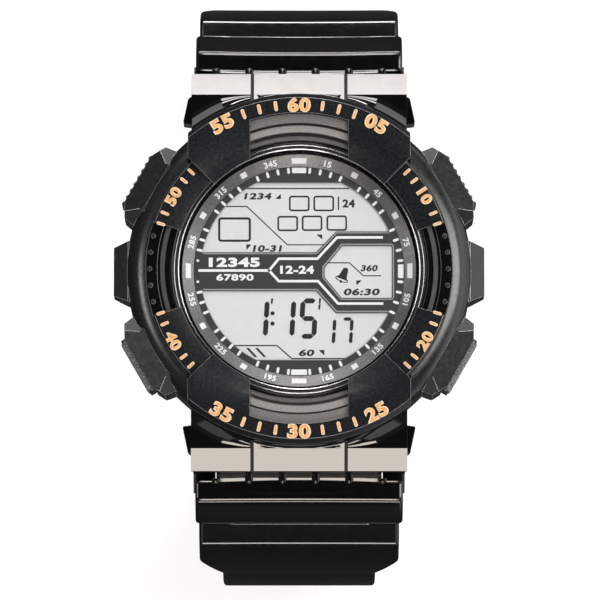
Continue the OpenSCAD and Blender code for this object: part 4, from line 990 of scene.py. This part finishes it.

# %% [markdown]
# ## Seams of the lug covers
# Each cover looks like three plates: two fine, deep seams part its middle tab from its sides. Light
# that falls into such a gap doesn't come back, so a black strip of painted shade lies in each one,
# on the slope of the facet. The gaps between the treads in the bezel's windows get the same painted
# shade. Beside the tab the cover's flat rises to the bezel in a hollow.

# %% Seams
# Painted shade in the gaps between the treads.
gaps = [sector(inside, outside, middle, 19, WINDOW_FOOT, top) for middle in (90, 270)
        for inside, outside, top in ((19.41, 19.79, 13.985), (20.91, 21.19, 14.45))]
new_piece("tread_gaps", together(gaps), painted_shade_black)
SEAM_X, HALF_GAP = 6.8, 0.25
slope = np.array([(24.72, 12.28), (29.02, 10.45), (29.02, 9.9), (24.72, 10.9)])
strips = []
for side in (-1, 1):
    points, faces = plate(slope, side * SEAM_X - HALF_GAP, side * SEAM_X + HALF_GAP)
    strips += [(points[:, [2, 0, 1]] * [1, end, 1], faces) for end in (-1, 1)]
new_piece("cover_seams", together(strips), painted_shade_black)

# %% The hollows beside the middle tab
PLATEAU, WALL_R, RISE = 11.8, 25.53, 1.25
TAB_SIDE, COVER_SIDE, WIDEST, FACET_AT = 7.1, 15.55, 2.6, 25.75


def hollow(side, end, cols=48, rows=24):
    """A curve that climbs from the cover's flat to the bezel's wall: at the share u of its
    width the height is the rise times (1 - u) squared. The width shrinks near the tab,
    where the facet begins."""
    x = np.linspace(TAB_SIDE, COVER_SIDE, cols)[None]
    u = np.linspace(0, 1, rows)[:, None]
    wide = np.minimum(WIDEST, np.hypot(x, FACET_AT) - WALL_R)
    y = np.sqrt((WALL_R + u * wide) ** 2 - x ** 2)
    top = np.stack([side * x + 0 * y, end * y, PLATEAU + 0.005 + RISE * (1 - u) ** 2 + 0 * x], -1)
    return skin_of(top, top * [1, 1, 0] + [0, 0, PLATEAU - 0.05])


new_piece("cover_hollows", together([hollow(a, b) for a in (-1, 1) for b in (-1, 1)]), lug_gloss)

# %% [markdown]
# ## Numbers on the bezel
# The bezel carries raised painted numbers. A plain minute scale stands there: 55, 60 and 05 over
# the upper claws, 35, 30 and 25 below, and one number on each side panel. A pale wider figure lies
# under an orange one: a painted highlight along each number's edges.


# %% Raised numbers
def raised(make, pale, bright, top, rise, angle, radius, tops_out=True):
    """One mark drawn twice: pale and wide at its foot, a painted highlight along its edges, and
    orange and narrow above it. The function make turns the sizes of each into a shape between two
    levels."""
    highlight_shells.append(bent(make(*pale, top - 0.05, top + rise), angle, radius, tops_out))
    bright_shells.append(bent(make(*bright, top, top + rise + 0.04), angle, radius, tops_out))


def wide_figures(text, height, bold, low, high):
    """Figures a fifth wider than plain ones."""
    return figures(text, height, low, high, bold=bold, widen=1.2)


BEZEL_TOP, BEZEL_R, PANEL_TOP, PANEL_R = 16.0, 23.72, 14.9, 21.0
ON_BEZEL = (("60", 90), ("55", 118), ("05", 62), ("30", 270), ("35", 242), ("25", 298))
ON_PANELS = (("10", 30), ("50", 150), ("40", 210), ("20", 330))
highlight_shells, bright_shells = [], []
for marks, height, top, radius in ((ON_BEZEL, 2.15, BEZEL_TOP, BEZEL_R),
                                   (ON_PANELS, 1.7, PANEL_TOP, PANEL_R)):
    for text, angle in marks:
        raised(wide_figures, (text, height, 0.055), (text, height * 0.9, 0.018), top, 0.1,
               angle, radius, tops_out=angle < 180)
for middle in (90, 270):
    for step in (-19.8, -14, -8.2, 8.2, 14, 19.8):
        raised(pill, (1.5, 0.5), (1.3, 0.28), BEZEL_TOP, 0.08, middle + step, 23.75)
for middle in (30, 150, 210, 330):
    for step in (-12, -7.5, 7.5, 12):
        raised(pill, (1.3, 0.45), (1.1, 0.25), PANEL_TOP, 0.08, middle + step, PANEL_R)
new_piece("bezel_numbers_highlight", together(highlight_shells), gold_edge_highlight)
new_piece("bezel_numbers", together(bright_shells), gold_paint)
print(len(bright_shells), "raised marks")

# %% [markdown]
# ## Buttons
# Two buttons have a toothed face and two a fine diamond knurl. The teeth are in the CAD
# part. The knurl is a height field: the smaller of two slanted triangle waves, carried
# over the cap's top, chamfers and face, so that it shows from above as well.

# %% Caps
KEYS = {"light": 150, "mode": 210, "start": 30, "reset": 330}
BUTTON_Z = 6.4
for key in ("light", "start", "mode", "reset"):
    softened(key + "_button", 0.06, button_black, "button_resin")


def knurl(angle, pitch=0.56, height=0.32, half=4.2, fade=0.3):
    """Points run along the cap and over its section; each moves out along the section's
    normal by the height times the smaller of two slanted triangle waves."""
    lower, upper, face, back = -2.2, 2.2, 27.35, 26.0
    path = np.array([(back, upper), (face - 0.35, upper), (face, upper - 0.5),
                     (face, lower + 0.5), (face - 0.35, lower), (back, lower)])
    step = np.linalg.norm(np.diff(path, axis=0), axis=1)
    at = np.concatenate([[0], np.cumsum(step)])
    t, b = np.linspace(0, at[-1], 100), np.linspace(-half, half, 130)
    line = np.column_stack([np.interp(t, at, path[:, 0]), np.interp(t, at, path[:, 1])])
    normal = normals(np.gradient(line, axis=0))
    one, two = [np.abs(((t[:, None] + way * b) / pitch) % 1 - 0.5) * 2 for way in (1, -1)]
    along_edge = np.minimum(1, (half - np.abs(b)) / fade)
    edge = along_edge * np.minimum(1, np.minimum(t, at[-1] - t) / fade)[:, None]
    rise = height * np.minimum(one, two) * edge - 0.02
    sheets = []
    for off in (rise, 0 * rise - 0.25):
        out, up = np.moveaxis(line[:, None] + off[..., None] * normal[:, None], -1, 0)
        sheets.append(swung(np.stack([out, b + 0 * out, up + BUTTON_Z], -1), angle))
    return skin_of(*sheets)


knurled_black = finish("knurled_black", (0.3, 0.3, 0.305), 0.3, 0.3, 0.2, 4, 0.06, metal=0.6)
for key in ("mode", "reset"):
    cap = new_piece(key + "_knurl", knurl(KEYS[key]), knurled_black, key + "_key", sharp=25)

# %% [markdown]
# ## Springs
# Each button stands on a small wound spring, which shortens when the button is pressed.


# %% Wound springs
def coil(angle, low, high, radius, wire, turns, steps=160, sides=10):
    """A circle of the wire's radius carried along a helix whose axis points outwards at
    the button's angle; its frame is the helix's normal and binormal."""
    a = np.linspace(0, 2 * np.pi * turns, steps)
    pitch = (high - low - 2 * wire) / (2 * np.pi * turns)
    centre = np.column_stack([low + wire + pitch * a, radius * np.cos(a), radius * np.sin(a)])
    outwards = np.column_stack([0 * a, np.cos(a), np.sin(a)])
    along = np.column_stack([np.full(steps, pitch), -radius * np.sin(a), radius * np.cos(a)])
    third = np.cross(unit(along), outwards)
    b = once_round(sides)[:, None]
    grid = centre[:, None] + wire * (np.cos(b) * outwards[:, None] + np.sin(b) * third[:, None])
    points = swung(grid.reshape(-1, 3), angle) + [0, 0, BUTTON_Z]
    return points, tube_faces(steps, sides)


spring_steel = finish("spring_steel", (0.6, 0.6, 0.61), 0.25, 0.08, 0.3, 2, 0.05, metal=1.0)
SPRING_LOW, SPRING_HIGH, PRESS = 20.43, 25.57, 0.8
for key, angle in KEYS.items():
    shell = coil(angle, SPRING_LOW, SPRING_HIGH, 1.45, 0.15, 4)
    wound = new_piece(key + "_spring", shell, spring_steel)
    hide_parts(key + "_button_spring")
    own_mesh(wound)

# %% [markdown]
# ## Back, buckle and keeper
# Steel is drawn, stamped or turned, and each way leaves its own lines. The back plate is
# brushed in circles, the buckle is plated dark with a fine brush along it, and the
# screws are bright. The lines are noise stretched along the tool's way.


# %% Brushed in circles
def circle_brushed(name, colour, rough):
    """Noise read in (radius, angle): long along the angle, short along the radius, so its
    streaks run round the plate's centre."""
    made, tree, skin = new_material(name)
    at = add(tree, "SeparateXYZ", {0: add(tree, "TexCoord").outputs["Object"]}).outputs
    radius = length(tree, add(tree, "CombineXYZ", {"X": at["X"], "Y": at["Y"]}))
    angle = maths(tree, "ARCTAN2", at["Y"], at["X"])
    laid = add(tree, "CombineXYZ", {"X": maths(tree, "MULTIPLY", radius, 9000.0),
                                    "Y": maths(tree, "MULTIPLY", angle, 1.2)})
    noise = add(tree, "TexNoise", {"Vector": laid, "Scale": 1.0, "Detail": 3.0})
    streaks = noise.outputs["Fac"]
    tone = add(tree, "ValToRGB", {0: streaks})
    for stop, share in zip(tone.color_ramp.elements, (0.86, 1.1)):
        stop.color = [min(1, c * share) for c in colour] + [1]
    feed(tree, skin, {
        "Base Color": tone, "Metallic": 1.0,
        "Roughness": ramp(tree, streaks, 0, 1, rough - 0.08, rough + 0.1),
        "Normal": add(tree, "Bump", {"Distance": 4e-6, "Height": streaks})})
    return made


back_steel = circle_brushed("back_steel", (0.6, 0.6, 0.61), 0.3)
screw_steel = finish("screw_steel", (0.62, 0.62, 0.63), 0.22, 0.1, 0.3, 2, 0.05, metal=1.0)
buckle_plate = finish("buckle_plate", (0.2, 0.2, 0.205), 0.36, 0.25, 0.25, 5, 0.06, metal=0.7,
                      stretch=(0.15, 1, 1))
pin_steel = finish("pin_steel", (0.58, 0.58, 0.59), 0.28, 0.1, 0.2, 3, 0.05, metal=1.0,
                   stretch=(0.05, 1, 1))
for node, width, material, slot in (
        ("case_back", 0.1, back_steel, "back_steel"),
        ("back_screws", 0.07, screw_steel, "screw_steel"),
        ("buckle_frame", 0.2, buckle_plate, "buckle_steel"),
        ("buckle_prong", 0.15, buckle_plate, "buckle_steel"),
        ("strap_keeper", 0.3, strap_urethane, "strap_resin"),
        ("buckle_pin", 0.1, pin_steel, "pin_steel")):
    softened(node, width, material, slot)

# %% [markdown]
# ## The movement inside
# Sealed parts are seldom seen, but the model can be taken apart, so each still has the
# finish of its trade: green board, nickel cell, gold-plated spring brass, foam, natural
# plastic. All but the foam pad keep the CAD's own shape.

# %% Finishes for the inner parts
rubber = finish("gasket_rubber", (0.012, 0.012, 0.012), 0.6, 0.2, 0.3, 6, 0.08)
INNER = {
    "glass": clear_glass, "scale_ring": scale_grey, "display_panel": display_silver,
    "display_digits": display_ink, "back_gasket": rubber, "glass_gasket": rubber,
    "backlight_panel": finish("light_guide", (0.75, 0.77, 0.73), 0.4, 0.04, 0.6, 2),
    "backlight_lamp": finish("lamp_face", (0.75, 0.68, 0.3), 0.35, 0.08, 0.3, 2),
    "zebra_strips": finish("zebra_strip", (0.45, 0.25, 0.28), 0.6, 0.5, 0.12, 4,
                           stretch=(1, 0.02, 0.02)),
    "module_frame": finish("natural_plastic", (0.55, 0.55, 0.51), 0.5, 0.06, 0.5, 4),
    "circuit_board": finish("solder_mask", (0.015, 0.11, 0.04), 0.35, 0.35, 0.8, 6),
    "controller_chip": finish("chip_package", (0.015, 0.015, 0.015), 0.55, 0.2, 0.2, 5),
    "quartz_can": finish("nickel_can", (0.65, 0.65, 0.66), 0.25, 0.08, 0.3, 2, metal=1.0),
    "battery_holder": finish("holder_plastic", (0.03, 0.03, 0.033), 0.5, 0.2, 0.4, 5),
    "battery": finish("cell_nickel", (0.66, 0.66, 0.67), 0.28, 0.08, 0.4, 3, metal=1.0),
    "buzzer_spring": spring_steel, "upper_strap_pin": pin_steel, "lower_strap_pin": pin_steel,
}
brass = finish("spring_brass", (0.75, 0.52, 0.2), 0.3, 0.12, 0.3, 3, metal=1.0)
INNER.update({"battery_clip": brass, "buzzer_disc": brass, "switch_contacts": brass})
seal_brown = finish("seal_rubber", (0.09, 0.03, 0.022), 0.55, 0.15, 0.2, 4)
for key in KEYS:
    INNER[key + "_button_seal"] = seal_brown
    INNER[key + "_button_clip"] = spring_steel
for node, material in INNER.items():
    held = nodes[node].data.materials
    held.clear()
    held.append(material)
print(len(INNER), "inner parts finished")

# %% The foam pad
foam = finish("foam_grey", (0.07, 0.07, 0.075), 0.85, 0.45, 0.25, 40, 0.05)
VENT_AT, VENT_R, PAD_R = (-9.5, 9.0), 1.6, 14.38
PAD_TOP, PAD_FOOT = 2.84, 2.41


def pad_sheet(steps=120, rings=28):
    """A disc with an off-centre hole as one grid, over the top and back underneath:
    between the hole's circle and the rim's the share t runs from 0 to 1, and the top
    swells by 0.22 t (1 - t) and rolls off where t nears either end."""
    a, t = once_round(steps)[:, None], np.linspace(0, 1, rings)[None]
    ring = np.stack([np.cos(a), np.sin(a)], -1)
    flat = (VENT_AT + VENT_R * ring) * (1 - t)[..., None] + PAD_R * ring * t[..., None]
    near_edge = 1 - np.minimum(1, np.minimum(t, 1 - t) / 0.02)
    roll = 0.14 * (1 - np.sqrt(np.clip(1 - near_edge ** 2, 0, 1)))
    up = PAD_TOP + 0.22 * t * (1 - t) - roll + 0 * a
    top, under = [np.concatenate([flat, z[..., None]], -1) for z in (up, PAD_FOOT + 0 * up)]
    points = np.concatenate([top, under[:, ::-1]], 1).reshape(-1, 3)
    return points, [grid_faces(steps, 2 * rings, True, True)]


foam_ring = new_piece("module_foam", pad_sheet(), foam, sharp=50)
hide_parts("module_cushion")

# %% [markdown]
# ## Colour setting
# The picture is developed plainly, with no curve laid over it.

# %% Finish
bpy.context.scene.view_settings.view_transform = "Standard"
bpy.context.view_layer.update()
